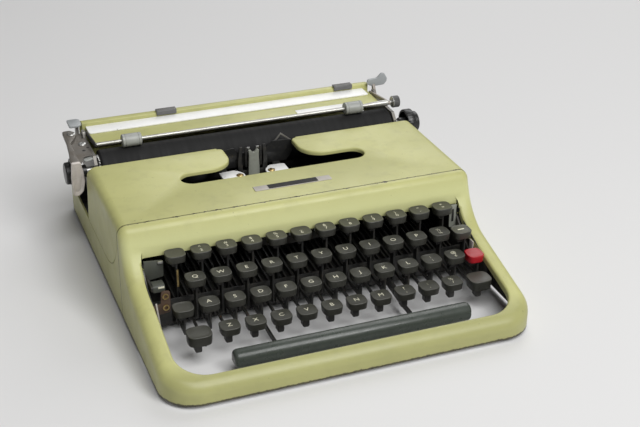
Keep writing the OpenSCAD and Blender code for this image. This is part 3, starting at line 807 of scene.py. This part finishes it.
class TYPEWRITER_OT_cover(bpy.types.Operator):
    """Models the ribbon cover with its type slot, and the badge on it"""

    bl_idname = "typewriter.cover"
    bl_label = "Ribbon cover"

    def execute(self, context):
        gap, rear, lean = 0.6, 227, 11
        line = [(rear, DECK), (rear + lean, TRAY + gap)]
        line += seam_arc(SEAM_RADIUS - gap, range(12, -1, -1))
        cover = prism("side", (-CASE_HALF, CASE_HALF), line)

        def long_edge(edge):
            place = middle(edge)
            outer = abs(place.x) > CASE_HALF - 0.1 and place.z > DECK - 0.1
            return outer and abs(along(edge).y) > 0.99

        pick("EDGE", long_edge)
        bevel(millimetres("casing_edge"), 8)
        r, y, reach, throat, tip = 9.5, 182.5, 75, 29, 19
        right = [(throat + 4, rear + 8), (throat + 4, rear - 0.4)]
        right += fillet((throat + 4, rear - 0.4), (throat, rear - 0.4), (throat, rear - 9), 3.9, 5)
        right += fillet((throat, rear - 9), (throat, y + r), (reach - r, y + r), tip, 9)
        ends = [math.radians(90 - 15 * i) for i in range(13)]
        right += [(reach - r + r * math.cos(a), y + r * math.sin(a)) for a in ends]
        carve(cover, prism("plan", (DECK - 3.2, DECK + 6), twofold(right)))
        edit(cover)
        outward()

        def slot_edge(edge):
            place = middle(edge)
            flat = all(abs(v.co.z / MM - DECK) < 0.05 for v in edge.verts)
            return flat and abs(place.x) < reach + 1 and y - r - 1 < place.y < rear - 0.2

        pick("EDGE", slot_edge)
        bevel(millimetres("slot_roll"), 3)

        def unseen(face):
            place = middle(face)
            ends = abs(face.normal.x) < 0.2 and abs(place.x) < CASE_HALF - 0.2
            under = ends and face.normal.z < -0.05
            back = ends and face.normal.y > 0.5 and place.y > rear - 0.05
            front = ends and face.normal.y < -0.5 and place.y < SEAM + 2
            floor = face.normal.z < -0.9 or (face.normal.z > 0.9 and place.z < DECK - 2)
            return under or back or front or floor

        pick("FACE", unseen)
        bpy.ops.mesh.delete(type="FACE")
        thicken(cover, "green_paint", "black_paint")
        seat("ribbon_cover_shell", [cover], "cover", "green_paint", "ribbon_cover")

        low, high = node_box("badge_plate")
        plate = oblong((low.x, high.x), (low.y, high.y))
        field = oblong((low.x + 11, high.x - 11), (low.y + 0.4, high.y - 0.4))
        seat("badge", [
            slab("badge_silver", "plan", (low.z - 0.3, high.z - 0.15), plate, 0.6),
            slab("flat_black", "plan", (high.z - 0.3, high.z), field, 0.3, 2, 0.08, 1),
        ], "cover", "aluminium", "badge_plate")
        return {"FINISHED"}


ROWS = (
    ("number_row", ("\"2", "#3", "$4", "%5", "_6", "&7", "'8", "(9", ")0", "*-", "+=")),
    ("upper_row", ("Q", "W", "E", "R", "T", "Y", "U", "I", "O", "P", "½¼")),
    ("home_row", ("A", "S", "D", "F", "G", "H", "J", "K", "L", ":;", "@¢")),
    ("lower_row", ("Z", "X", "C", "V", "B", "N", "M", "?,", ":.", "¾/")),
)


def key_cap(width, depth, skirt, stub_tall):
    """Models one key cap with its top at the origin, and the stub it is pressed on."""
    edge = millimetres("cap_edge")
    dish = millimetres("cap_dish")
    turns = [math.radians(22.5 * i) for i in range(1, 5)]
    steps = [(-edge, 0)]
    steps += [(edge * (math.sin(a) - 1), edge * (1 - math.cos(a))) for a in turns]
    steps += [(-0.5 * dish, edge + 0.6), (-0.9 * dish, edge + 1.3), (-dish, edge + 2.2)]
    start = 0.5
    ring = cushion_outline(width - 2 * start, depth - 2 * start, 3.5, 44)
    cap = draw_out(
        [Vector((x, y, -skirt)) * MM for x, y in ring], (0, 0, 0),
        upwards(width, depth, (-skirt, start), steps))
    coat(cap, "key_plastic", 50)
    # Faces that do not look up take the darker plastic: painted shade on the sides of the key
    cap.data.materials.append(finish("key_shaded_side"))
    for face in cap.data.polygons:
        face.material_index = int(face.normal.z < 0.4)
    foot = -skirt - stub_tall
    square = rounded(oblong((-3.2, 1.1), (-2.4, 2.4)), 0.8, 3)
    stub = draw_out(
        [Vector((x, y, foot)) * MM for x, y in square], (0, 0, 0),
        upwards(5.2, 5.2, (foot, 0), [(foot + 1.2, -0.5), (-skirt + 0.3, -0.5)]))
    return join([cap, coat(stub, "black_paint")])


def legend(glyphs, x, y, top):
    """Letters in the hollow of a key: one in the middle, or two one above the other."""
    size = millimetres("legend_size")
    floor = top - millimetres("cap_dish") + 0.05
    if len(glyphs) == 1:
        return [letters(glyphs, at(x, y, floor), size)]
    return [letters(glyph, at(x, y + rise, floor), size * 0.8) for glyph, rise in zip(glyphs, (2.3, -2.1))]


class TYPEWRITER_OT_character_keys(bpy.types.Operator):
    """Models one key cap and sets copies of it with their letters in four rows"""

    bl_idname = "typewriter.character_keys"
    bl_label = "Character keys"

    def execute(self, context):
        for row, marks in ROWS:
            master = key_cap(*CAP, SKIRT, LONG_STUB if row == "lower_row" else STUB)
            low, high = node_box(row + "_caps")
            pitch = (high.x - low.x - CAP[0]) / (len(marks) - 1)
            y = (low.y + high.y) / 2
            pieces = []
            for i, glyphs in enumerate(marks):
                x = low.x + CAP[0] / 2 + pitch * i
                pieces.append(set_at(master, x, y, high.z))
                pieces += legend(glyphs, x, y, high.z)
            seat(row + "_keys", pieces, row, "key_plastic", row + "_caps")
            bpy.data.objects.remove(master)
        return {"FINISHED"}


FUNCTION_KEYS = (
    ("left_shift", "left_shift_key", (-100.6, 52, 26), (17.6, 15.6), -96.7, "key_plastic"),
    ("right_shift", "right_shift_key", (113.8, 51, 26), (17.2, 15.6), 112.84, "key_plastic"),
    ("shift_lock", "shift_lock_key", (-106.24, 70.8, 36.7), CAP, -106.24, "key_plastic"),
    ("backspace", "backspace_key", (-101.48, 105.6, 60.1), CAP, -101.48, "key_plastic"),
    ("tabulator", "tabulator_key", (118, 68.6, 36.7), (13, 13.6), 120.5, "red_plastic"),
    ("margin_release", "margin_release_key", (115.2, 86.2, 48.4), CAP, 117.6, "key_plastic"),
)


class TYPEWRITER_OT_function_keys(bpy.types.Operator):
    """Models the shift, lock, backspace, tabulator and margin keys with their levers"""

    bl_idname = "typewriter.function_keys"
    bl_label = "Function keys"

    def execute(self, context):
        for body, node, (x, y, top), size, lever_x, slot in FUNCTION_KEYS:
            deep = (SKIRT + 2, LONG_STUB) if body.endswith("shift") else (SKIRT, STUB)
            master = key_cap(*size, *deep)
            cap = set_at(master, x, y, top)
            bpy.data.objects.remove(master)
            if slot != "key_plastic":
                cap.data.materials[0] = cap.data.materials[1] = finish(slot)
            under = top - CAP_TALL + 0.3
            lever = slab("black_paint", "side", (lever_x - 0.7, lever_x + 0.7), [
                (y - 3, 15), (FULCRUM[0], 21), (FULCRUM[0], 27), (y + 3, 18), (y + 3, under),
                (y - 3, under)], edge=0.25)
            eye = cross_turned(beside(lever_x, [
                (-0.75, 1.7), (-0.75, 4), (0.75, 4), (0.75, 1.7), (-0.75, 1.7)]), FULCRUM, 24)
            pieces = [cap, lever, coat(eye, "black_paint")]
            if body == "margin_release":
                mark = oblong((x - 2.6, x + 2.6), (y - 0.6, y + 0.6))
                pieces.append(slab("legend", "plan", (top - 0.4, top - 0.2), mark, 0.3, 2, 0.05, 1))
            if body == "backspace":
                pieces.append(bar("brass", (x - 0.4, x + 1.2), (y - 3.9, y - 2.9), (34, 48)))
            seat(body + "_piece", pieces, body, slot, node)
        return {"FINISHED"}


class TYPEWRITER_OT_space_bar(bpy.types.Operator):
    """Models the space bar"""

    bl_idname = "typewriter.space_bar"
    bl_label = "Space bar"

    def execute(self, context):
        low, high = node_box("space_bar")
        line = rounded([(24.2, 6.8), (36.8, 8), (36, 19.8), (25.2, 18.4)], (3.4, 2, 4.4, 5.4), 6)
        lengths = (0.5, 0.9, 1.4, high.x - low.x - 4.6, 1.4, 0.9, 0.5)
        sizes = (0.62, 0.8, 0.92, 1, 1, 0.92, 0.8, 0.62)
        ratios = [after / size for size, after in zip(sizes, sizes[1:])]
        grip = draw_out(
            [at(low.x - 1, y, z) for y, z in line], at(0, 31.2, 13.4), across(zip(lengths, ratios)),
            (1, sizes[0], sizes[0]))
        seat("space_bar_top", [coat(grip, "bar_plastic", 40)], "space", "bar_plastic", "space_bar")
        return {"FINISHED"}


class TYPEWRITER_OT_platen(bpy.types.Operator):
    """Turns the platen and its two fluted knobs"""

    bl_idname = "typewriter.platen"
    bl_label = "Platen and knobs"

    def execute(self, context):
        roller = cross_turned([
            (-124, 3.1), (-124, 14.2), (-123.2, 15), (123.2, 15), (124, 14.2), (124, 3.1), (-124, 3.1)],
            PLATEN, 72)
        coat(roller, "platen_rubber", 40)
        seat("platen_rubber_roller", [roller], "platen", "platen_rubber", "platen_roller")
        steps = (
            (-4.2, 1), (0, 1.16), (0.5, 1 / KNOB_HOLLOW / 1.16), (5.6, 1), (0.5, 0.985), (0.3, 0.955),
            (0, 0.9), (-0.5, 0.97))
        for side, node in ((-1, "left_platen_knob"), (1, "right_platen_knob")):
            knob = draw_out(
                fluted(side * 144.6, PLATEN, 11.5, 0.16, 36), at(0, *PLATEN), across(steps, side),
                (1, KNOB_HOLLOW, KNOB_HOLLOW))
            coat(knob, "black_plastic", 40)
            cap = cross_turned([(146, 0), (146, 9), (151, 8.8), (151.8, 8), (152, 0)], PLATEN, 48, side)
            coat(cap, "black_plastic")
            hub = cross_turned([
                (135, 3.1), (135, 4.6), (135.5, 5), (145, 5), (145, 3.1), (135, 3.1)], PLATEN, 32, side)
            coat(hub, "black_plastic")
            seat(node + "_piece", [knob, cap, hub], "platen", "black_plastic", node)
        return {"FINISHED"}


class TYPEWRITER_OT_well_fittings(bpy.types.Operator):
    """Models the colour selector and the small plates, loops and strips at the ends of the well"""

    bl_idname = "typewriter.well_fittings"
    bl_label = "Well fittings"

    def execute(self, context):
        seat("selector_piece", [
            slab("black_paint", "side", (-123, -121.4), [
                (92, 39), (128, 36.4), (128, 43.6), (92, 43)], (1, 3, 3, 1), 4),
            slab("well_grey", "side", (-121.6, -113), [
                (92, 38), (101, 38), (101, 43.4), (95, 44), (92, 43)], (0.8, 0.8, 1.5, 2, 1.4), 4, 0.5),
            bar("legend", (-118, -113.6), (91.8, 92.4), (41.2, 42.6), 0.1),
        ], "selector", "black_paint", "ribbon_selector")

        pieces = [
            slab("well_grey", "front", (110.2, 111.4), [
                (-WELL_ENDS, 38), (-109.4, 40), (-109, 53), (-WELL_ENDS, 54.4)], (0, 1, 1.5, 0)),
            bar("bright_metal", (-113.4, -109.6), (108.8, 110.4), (51.2, 53.2)),
            slab("rust", "front", (89.4, 90.4), [
                (-WELL_ENDS, 21), (-110.6, 22.5), (-110.2, 39.6), (-116.8, 40.4), (-117.4, 30),
                (-WELL_ENDS, 29)], (0, 1.5, 2, 2, 1, 0)),
        ]
        loop_x = -113.8
        for z in (35.8, 26.8):
            ring = oblong((1.5, 2.3), (88.6, 89.5))
            points = [at(loop_x + r, y, z) for r, y in ring + ring[:1]]
            pieces.append(coat(lathe(points, at(loop_x, 0, z), (0, 1, 0), 24), "brass"))
        pieces += [
            slab("worn_steel", "side", (-WELL_ENDS, -122), [
                (80.4, 37), (81.4, 36.4), (70.8, 20), (69.8, 20.6)]),
            slab("guide_grey", "front", (110.4, 111.4), [
                (117.6, 37), (WELL_ENDS, 37), (WELL_ENDS, 56), (117.4, 56.2)], (1, 0, 0, 1)),
            bar("black_paint", (119.4, 121.2), (110.1, 110.6), (42, 52.6), 0.1),
            bar("pale_plastic", (122.8, WELL_ENDS), (80, 85.6), (22, 39), 0.15),
        ]
        for span in ((-125.8, -125.1), (125.1, 125.8)):
            pieces.append(slab("black_paint", "side", span, [
                (60, 14), (112.8, 24), (112.8, 57), (104, 47), (60, 30)]))
        pieces.append(bar("black_paint", (-135.6, -124), (238, 318), (4.2, 5.2), 0.2))
        seat("well_fittings", pieces, "machine_frame", "chassis_steel")
        return {"FINISHED"}


class TYPEWRITER_OT_type_guide(bpy.types.Operator):
    """Models the type guide, the ribbon fork, the white guide plates and the card holder"""

    bl_idname = "typewriter.type_guide"
    bl_label = "Type guide"

    def execute(self, context):
        x = GUIDE
        pieces = [
            slab("guide_grey", "front", (221, 223.6), beside(x, twofold([
                (5, 4.2), (4.6, 60), (4.1, 70), (4.4, 74.6), (2.6, 74.9), (0.8, 72.6)])), edge=0.3),
            bar("black_paint", (x - 12, x + 12), (213, 221.2), (48, 49.2)),
        ]
        for side in (-1, 1):
            prong = [(5.4, 60), (7, 60), (7, 76), (6.2, 77.3), (5, 77), (5, 74), (5.6, 70)]
            tip = sorted((x + side * 2.6, x + side * 5.4))
            pieces += [
                slab("black_paint", "front", (222.4, 223.8), beside(x, prong, side), edge=0.3),
                bar("bright_metal", tip, (223.4, 224), (75.4, 76.8), 0.2),
            ]
        pieces.append(slab("black_plastic", "front", (227.6, 228.4), [
            (-33, 58.4), (26, 58.4), (31, 66), (31, 76.5), (14, 77.4), (7, 71), (-15, 71), (-19, 76),
            (-33, 74)], (0, 0, 3, 3, 2, 4, 4, 3, 3)))
        for side, inner, outer in ((-1, -15.2, -34), (1, 3, 21.4)):
            arm = sorted((outer - side * 8, outer - side * 2))
            wing = [
                (inner, 206.6), (outer, 206.6), (outer, 220.6), (inner + side * 5, 221.4), (inner, 214)]
            pieces += [
                bar("black_paint", arm, (219, 228), (58, 58.9), 0.2),
                slab("white_paint", "plan", (58, 59.5), wing, (0.8, 0.8, 1.5, 5, 4), 5, 0.3),
            ]
        screw = screw_head("brass", 3)
        pieces += [set_at(screw, -19.4, 210.4, 60.4), set_at(screw, 7.4, 211.2, 60.4)]
        bpy.data.objects.remove(screw)
        pieces.append(slab("grey_metal", "front", (228.8, 230), [
            (15.2, 75.4), (21.2, 82.4), (22, 82.4), (30.8, 75.4), (29.8, 74.4), (21.6, 80.9),
            (16.4, 74.6)], edge=0.35))
        seat("type_guide_piece", pieces, "machine_frame", "chassis_steel", "type_guide")

        fork = slab("black_paint", "front", (224.4, 226), beside(x, twofold([
            (12, 50), (12.6, 64), (11, 77), (8.6, 77), (9, 66), (8.4, 56)])), edge=0.3)
        seat("ribbon_fork", [fork], "vibrator", "bright_metal", "ribbon_vibrator")
        return {"FINISHED"}


class TYPEWRITER_OT_paper_rest(bpy.types.Operator):
    """Models the paper table with its bare label, the margin scale, its stops and the rear cover"""

    bl_idname = "typewriter.paper_rest"
    bl_label = "Paper table and rear cover"

    def execute(self, context):
        low, high = node_box("paper_table")
        seat("paper_table_piece", [
            slab("green_paint", "side", (low.x, high.x), oblong((low.y, high.y), (low.z, high.z)),
                 (0.3, 0, 0, 0.9), 4, 0.3),
            slab("white_paint", "plan", (high.z - 0.2, high.z + 0.25), oblong((49, 108.5), (263.4, 270.4)),
                 0.6, 3, 0.1),
        ], "carriage", "green_paint", "paper_table")

        low, high = node_box("margin_scale")
        strip = oblong((low.x, high.x), (low.y, high.y))
        scale = slab("white_paint", "plan", (low.z, high.z), strip, (2, 2, 1, 1), 4, 0.4)
        seat("margin_scale_strip", [scale], "carriage", "white_paint", "margin_scale")

        low, high = node_box("carriage_cover")
        hood = slab("green_paint", "side", (low.x, high.x), [
            (296, 62), (296, 86), (300, 86.5), (309, 83), (312, 76), (312, 46), (310.6, 46), (310.6, 75.6),
            (308, 82), (299.8, 85.1), (297.4, 84.8), (297.4, 62)],
            (0, 1.4, 3, 5, 6, 0, 0, 4.6, 3.6, 2, 0.3, 0), 5, 0.4, 2, 60)
        seat("rear_hood", [hood], "carriage", "green_paint", "carriage_cover")

        for node, body in (("left_margin_stop", "margin_left"), ("right_margin_stop", "margin_right")):
            low, high = node_box(node)
            top, under, back = high.z - 0.15, high.z - 1.4, low.y + 1.2
            stop = slab("stop_grey", "side", (low.x, high.x), [
                (low.y, low.z), (low.y, top), (high.y, top), (high.y, under), (back, under), (back, low.z)],
                (0.3, 0.9, 0.5, 0, 0, 0), 3, 0.3, 2, 60)
            rib_x, rib_y = (low.x + 1, low.x + 1.7), (low.y + 0.6, high.y - 0.5)
            rib = bar("grey_metal", rib_x, rib_y, (high.z - 1, high.z), 0.2)
            ribs = [rib] + [copy_of(rib, 1.75 * i, 0, 0) for i in range(1, 9)]
            seat(node + "_piece", [stop] + ribs, body, "grey_metal", node)
        return {"FINISHED"}


class TYPEWRITER_OT_bail(bpy.types.Operator):
    """Turns the paper bail with its knob and rollers, and models its arms"""

    bl_idname = "typewriter.bail"
    bl_label = "Paper bail"

    def execute(self, context):
        rod = cross_turned([
            (-126, 0), (-126, 1.5), (102, 1.5), (111, 2.2), (120, 2.6), (124.6, 2.6), (125.6, 1.5),
            (128.6, 1.5), (128.6, 0)], BAIL, 24)
        pieces = [coat(rod, "rod_metal")]
        # The left arm takes the black enamel as painted shade, since it lies in shadow; the right arm keeps
        # its brown
        for slot, span in (("black_paint", (-126.6, -125)), ("arm_brown", (125, 126.6))):
            pieces.append(slab(slot, "side", span, [
                (245.2, 85.6), (284.6, 79.8), (288.8, 79.6), (288.6, 82.8), (285, 83.2), (246, 88.6)],
                (1.4, 6, 1.5, 1.5, 6, 1.4), 5, 0.3))
        seat("paper_bail_piece", pieces, "bail", "bright_metal", "paper_bail")

        steps = ((4.9, 1), (0.45, 0.97), (0.25, 0.93), (0, 0.85), (-0.3, 0.96))
        knob = draw_out(fluted(129.2, BAIL, 5, 0.22, 24), at(0, *BAIL), across(steps))
        collar = cross_turned([(128.6, 0), (128.6, 4.4), (128.9, 4.8), (129.3, 4.8), (129.3, 0)], BAIL, 36)
        pieces = [coat(knob, "knob_grey", 40), coat(collar, "bright_metal")]
        seat("bail_knob_piece", pieces, "bail", "black_plastic", "bail_knob")

        for node, body in (
                ("left_bail_roller", "bail_roller_left"), ("right_bail_roller", "bail_roller_right")):
            low, high = node_box(node)
            left, right = low.x, high.x
            roller = cross_turned([
                (left, 1.6), (left, 4.6), (left + 0.5, 5.2), (left + 2.2, 5.2), (left + 2.5, 4.9),
                (left + 2.8, 5.2), (right - 2.8, 5.2), (right - 2.5, 4.9), (right - 2.2, 5.2),
                (right - 0.5, 5.2), (right, 4.6), (right, 1.6), (left, 1.6)], BAIL)
            coat(roller, "roller_grey", 40)
            seat(node + "_piece", [roller], body, "grey_metal", node)
        return {"FINISHED"}


class TYPEWRITER_OT_levers(bpy.types.Operator):
    """Models the line-space lever, the release levers and the fittings of the left carriage end"""

    bl_idname = "typewriter.levers"
    bl_label = "Carriage levers"

    def execute(self, context):
        x, y = LINE_LEVER
        arm_top = 82.9
        arm = slab("worn_steel", "plan", (79.9, arm_top), beside(x, [
            (-6, 292.5), (1, 292.5), (4.6, 285), (1.6, 277.6), (-3.4, 268), (-3.9, 243), (-3.6, 231.2),
            (-10.2, 231), (-10.4, 236), (-8.4, 250), (-6.6, 270)]),
            (2.5, 3, 4, 3, 6, 6, 1, 1, 4, 8, 8), 5, 0.7, 3)

        def lean(z):
            return 230.4 + (arm_top - z) * 0.262

        outline = rounded(beside(x, [
            (-10.4, arm_top), (-10.9, 68), (-9.6, 50.8), (-5.4, 49.8), (-1.4, 54), (-0.1, 64), (-1.4, 74),
            (-3.4, arm_top)]), (1, 8, 2.5, 3, 4, 5, 6, 1), 4)
        steps = ((-1.2, 1), (-0.4, 0.97), (-0.2, 0.93), (0.4, 0.88), (0.5, 0.76), (0.2, 0.55))
        paddle = draw_out(
            [at(px, lean(pz), pz) for px, pz in outline], at(x - 5.4, lean(67), 67),
            [((0, step, 0), (ratio, 1, 0.5 + ratio / 2)) for step, ratio in steps])
        coat(paddle, "pale_plastic", 50)
        screw = screw_head("bright_metal", 3.4)
        pieces = [arm, paddle, set_at(screw, x, y, 84)]
        seat("line_space_lever_piece", pieces, "line_lever", "bright_metal", "line_space_lever")

        pieces = [
            slab("worn_steel", "plan", (79.4, 79.75), [
                (-128.4, 247), (-136.6, 244), (-140, 233), (-142.6, 234.6), (-142.6, 262), (-141, 276),
                (-131.4, 290), (-128, 290)], (1, 3, 0.8, 0.8, 4, 4, 1, 1), 4, 0.12, 1),
            set_at(screw, -132.6, 268.6, 81),
        ]
        bpy.data.objects.remove(screw)
        for px, py, size in ((-130, 281, 1), (-133.8, 256.4, 1.3), (-129.8, 261, 1.1)):
            hole = upright_turned([
                (0, 79), (size, 79), (size, 79.9), (size * 0.6, 79.95), (0, 79.95)], px, py)
            pieces.append(coat(hole, "black_paint"))
        pieces.append(slab("roller_grey", "plan", (77.2, 78), [
            (-136.5, 250.6), (-126.2, 247.6), (-126.2, 244.6), (-137, 238.4)], (1, 1, 1.2, 2), 4))
        seat("left_fittings", pieces, "carriage", "grey_metal")

        seat("paper_release_piece", [
            slab("wing_grey", "front", (292.4, 294.4), [
                (124.8, 87), (125.4, 91.4), (134.2, 91.8), (138.6, 96.2), (141.4, 95), (144, 90.4),
                (143.6, 87.6), (141, 84.8), (130, 84.2)], (1.8, 2, 4, 2, 2, 2.5, 2, 2, 3), 5, 0.6, 3),
            slab("arm_brown", "side", (129.8, 132.2), [
                (281, 67), (289, 67), (294.4, 85), (292.4, 87)], (3.5, 3.5, 0.6, 0.6), 5, 0.4),
        ], "paper_release", "grey_metal", "paper_release_lever")

        seat("carriage_release_piece", [
            slab("wing_grey", "plan", (84.5, 86.6), [
                (-138, 292), (-130, 292), (-127.7, 295), (-127.7, 304), (-129.8, 306), (-138, 306)],
                (1.5, 1.2, 1.2, 1.2, 1.2, 1.5), 4, 0.5, 3),
            slab("grey_metal", "side", (-132, -129.8), oblong((296.5, 303.5), (60, 85)),
                 (3.2, 3.2, 0.5, 0.5), 5, 0.4),
        ], "carriage_release", "grey_metal", "carriage_release_lever")
        return {"FINISHED"}


EDGED = (
    "left_end_plate", "right_end_plate", "left_side_frame", "right_side_frame", "lever_comb", "base_plate",
    "number_row_levers", "upper_row_levers", "home_row_levers", "lower_row_levers", "space_bar_arms",
    "carriage_bed", "carriage_rail", "line_space_ratchet", "spool_brackets", "platen_shaft",
)


class TYPEWRITER_OT_solids(bpy.types.Operator):
    """Gives the solids that stay in view their finishes and fine edges"""

    bl_idname = "typewriter.solids"
    bl_label = "Finishes of the solids"

    def execute(self, context):
        for part in frame["record"]["subparts"]:
            solid = frame["nodes"][part["node"]]
            made = finish(part["material_slot"])
            if not solid.material_slots:
                solid.data.materials.append(made)
            for slot in solid.material_slots:
                slot.material = made
            if part["node"] in EDGED:
                solid.modifiers.new("Weld", "WELD").merge_threshold = 0.001 * MM
                edges = solid.modifiers.new("Edges", "BEVEL")
                edges.width = 0.25 * MM
                edges.segments = 2
                edges.limit_method = "ANGLE"
                edges.angle_limit = math.radians(40)
        return {"FINISHED"}


LAMPS = (
    ("softbox_front", (0.2, -1.35, 2.15), 1.8, 50),
    ("softbox_right", (0.8, -1.8, 1.55), 0.8, 15),
    ("softbox_rear", (1.0, 1.4, 1.5), 1.6, 18),
)
CAMERA_PLACE = (-0.2822, -0.8034, 0.4898)
CAMERA_TURN = (21.24, 27.54, 0.38)
LENS = 69.6


class TYPEWRITER_OT_stage(bpy.types.Operator):
    """Sets the floor, the studio light and the camera"""

    bl_idname = "typewriter.stage"
    bl_label = "Stage"

    def execute(self, context):
        clear()
        bpy.ops.mesh.primitive_plane_add(size=14, location=(0, 0, 0))
        floor = context.object
        floor.name = "floor"
        paper = Finish("pale_floor")
        paper.set("Base Color", (0.75, 0.747, 0.745, 1))
        paper.set("Roughness", 0.9)
        floor.data.materials.append(paper.material)
        for name, place, size, power in LAMPS:
            bpy.ops.object.light_add(type="AREA", location=place)
            lamp = context.object
            lamp.name = name
            lamp.data.size = size
            lamp.data.energy = power
            aim = Vector((0, 0, 0.04)) - Vector(place)
            lamp.rotation_euler = aim.to_track_quat("-Z", "Y").to_euler()
        world = bpy.data.worlds.new("studio")
        world.use_nodes = True
        sky = world.node_tree.nodes["Background"]
        sky.inputs["Color"].default_value = (1.0, 0.99, 0.98, 1)
        sky.inputs["Strength"].default_value = 0.06
        context.scene.world = world
        yaw, pitch, roll = (math.radians(a) for a in CAMERA_TURN)
        ahead = Vector((
            math.sin(yaw) * math.cos(pitch), math.cos(yaw) * math.cos(pitch), -math.sin(pitch)))
        level = Vector((math.cos(yaw), -math.sin(yaw), 0))
        rise = level.cross(ahead)
        aside = math.cos(roll) * level + math.sin(roll) * rise
        up = math.cos(roll) * rise - math.sin(roll) * level
        bpy.ops.object.camera_add(location=CAMERA_PLACE)
        camera = context.object
        camera.rotation_euler = Matrix((aside, up, -ahead)).transposed().to_euler()
        camera.data.sensor_fit = "HORIZONTAL"
        camera.data.sensor_width = 36
        camera.data.lens = LENS
        context.scene.camera = camera
        context.scene.view_settings.view_transform = "Standard"
        return {"FINISHED"}


class TYPEWRITER_PT_pieces(bpy.types.Panel):
    """Lists the pieces, sizes and colours"""

    bl_label = "Typewriter"
    bl_idname = "TYPEWRITER_PT_pieces"
    bl_space_type = "VIEW_3D"
    bl_region_type = "UI"
    bl_category = "Typewriter"

    def draw(self, context):
        for maker in MAKERS:
            self.layout.operator(maker.bl_idname)
        for group in (context.scene.typewriter_sizes, context.scene.typewriter_colours):
            for name in group.__annotations__:
                self.layout.prop(group, name)


MAKERS = (
    TYPEWRITER_OT_stage,
    TYPEWRITER_OT_solids,
    TYPEWRITER_OT_casing,
    TYPEWRITER_OT_cover,
    TYPEWRITER_OT_character_keys,
    TYPEWRITER_OT_function_keys,
    TYPEWRITER_OT_space_bar,
    TYPEWRITER_OT_platen,
    TYPEWRITER_OT_well_fittings,
    TYPEWRITER_OT_type_guide,
    TYPEWRITER_OT_paper_rest,
    TYPEWRITER_OT_bail,
    TYPEWRITER_OT_levers,
)
CLASSES = (TypewriterSizes, TypewriterColours) + MAKERS + (TYPEWRITER_PT_pieces,)


def register():
    for kind in CLASSES:
        bpy.utils.register_class(kind)
    bpy.types.Scene.typewriter_sizes = PointerProperty(type=TypewriterSizes)
    bpy.types.Scene.typewriter_colours = PointerProperty(type=TypewriterColours)


def unregister():
    del bpy.types.Scene.typewriter_colours
    del bpy.types.Scene.typewriter_sizes
    for kind in reversed(CLASSES):
        bpy.utils.unregister_class(kind)


def main():
    register()
    for maker in MAKERS:
        group, name = maker.bl_idname.split(".")
        getattr(getattr(bpy.ops, group), name)()


if __name__ == "__main__":
    main()
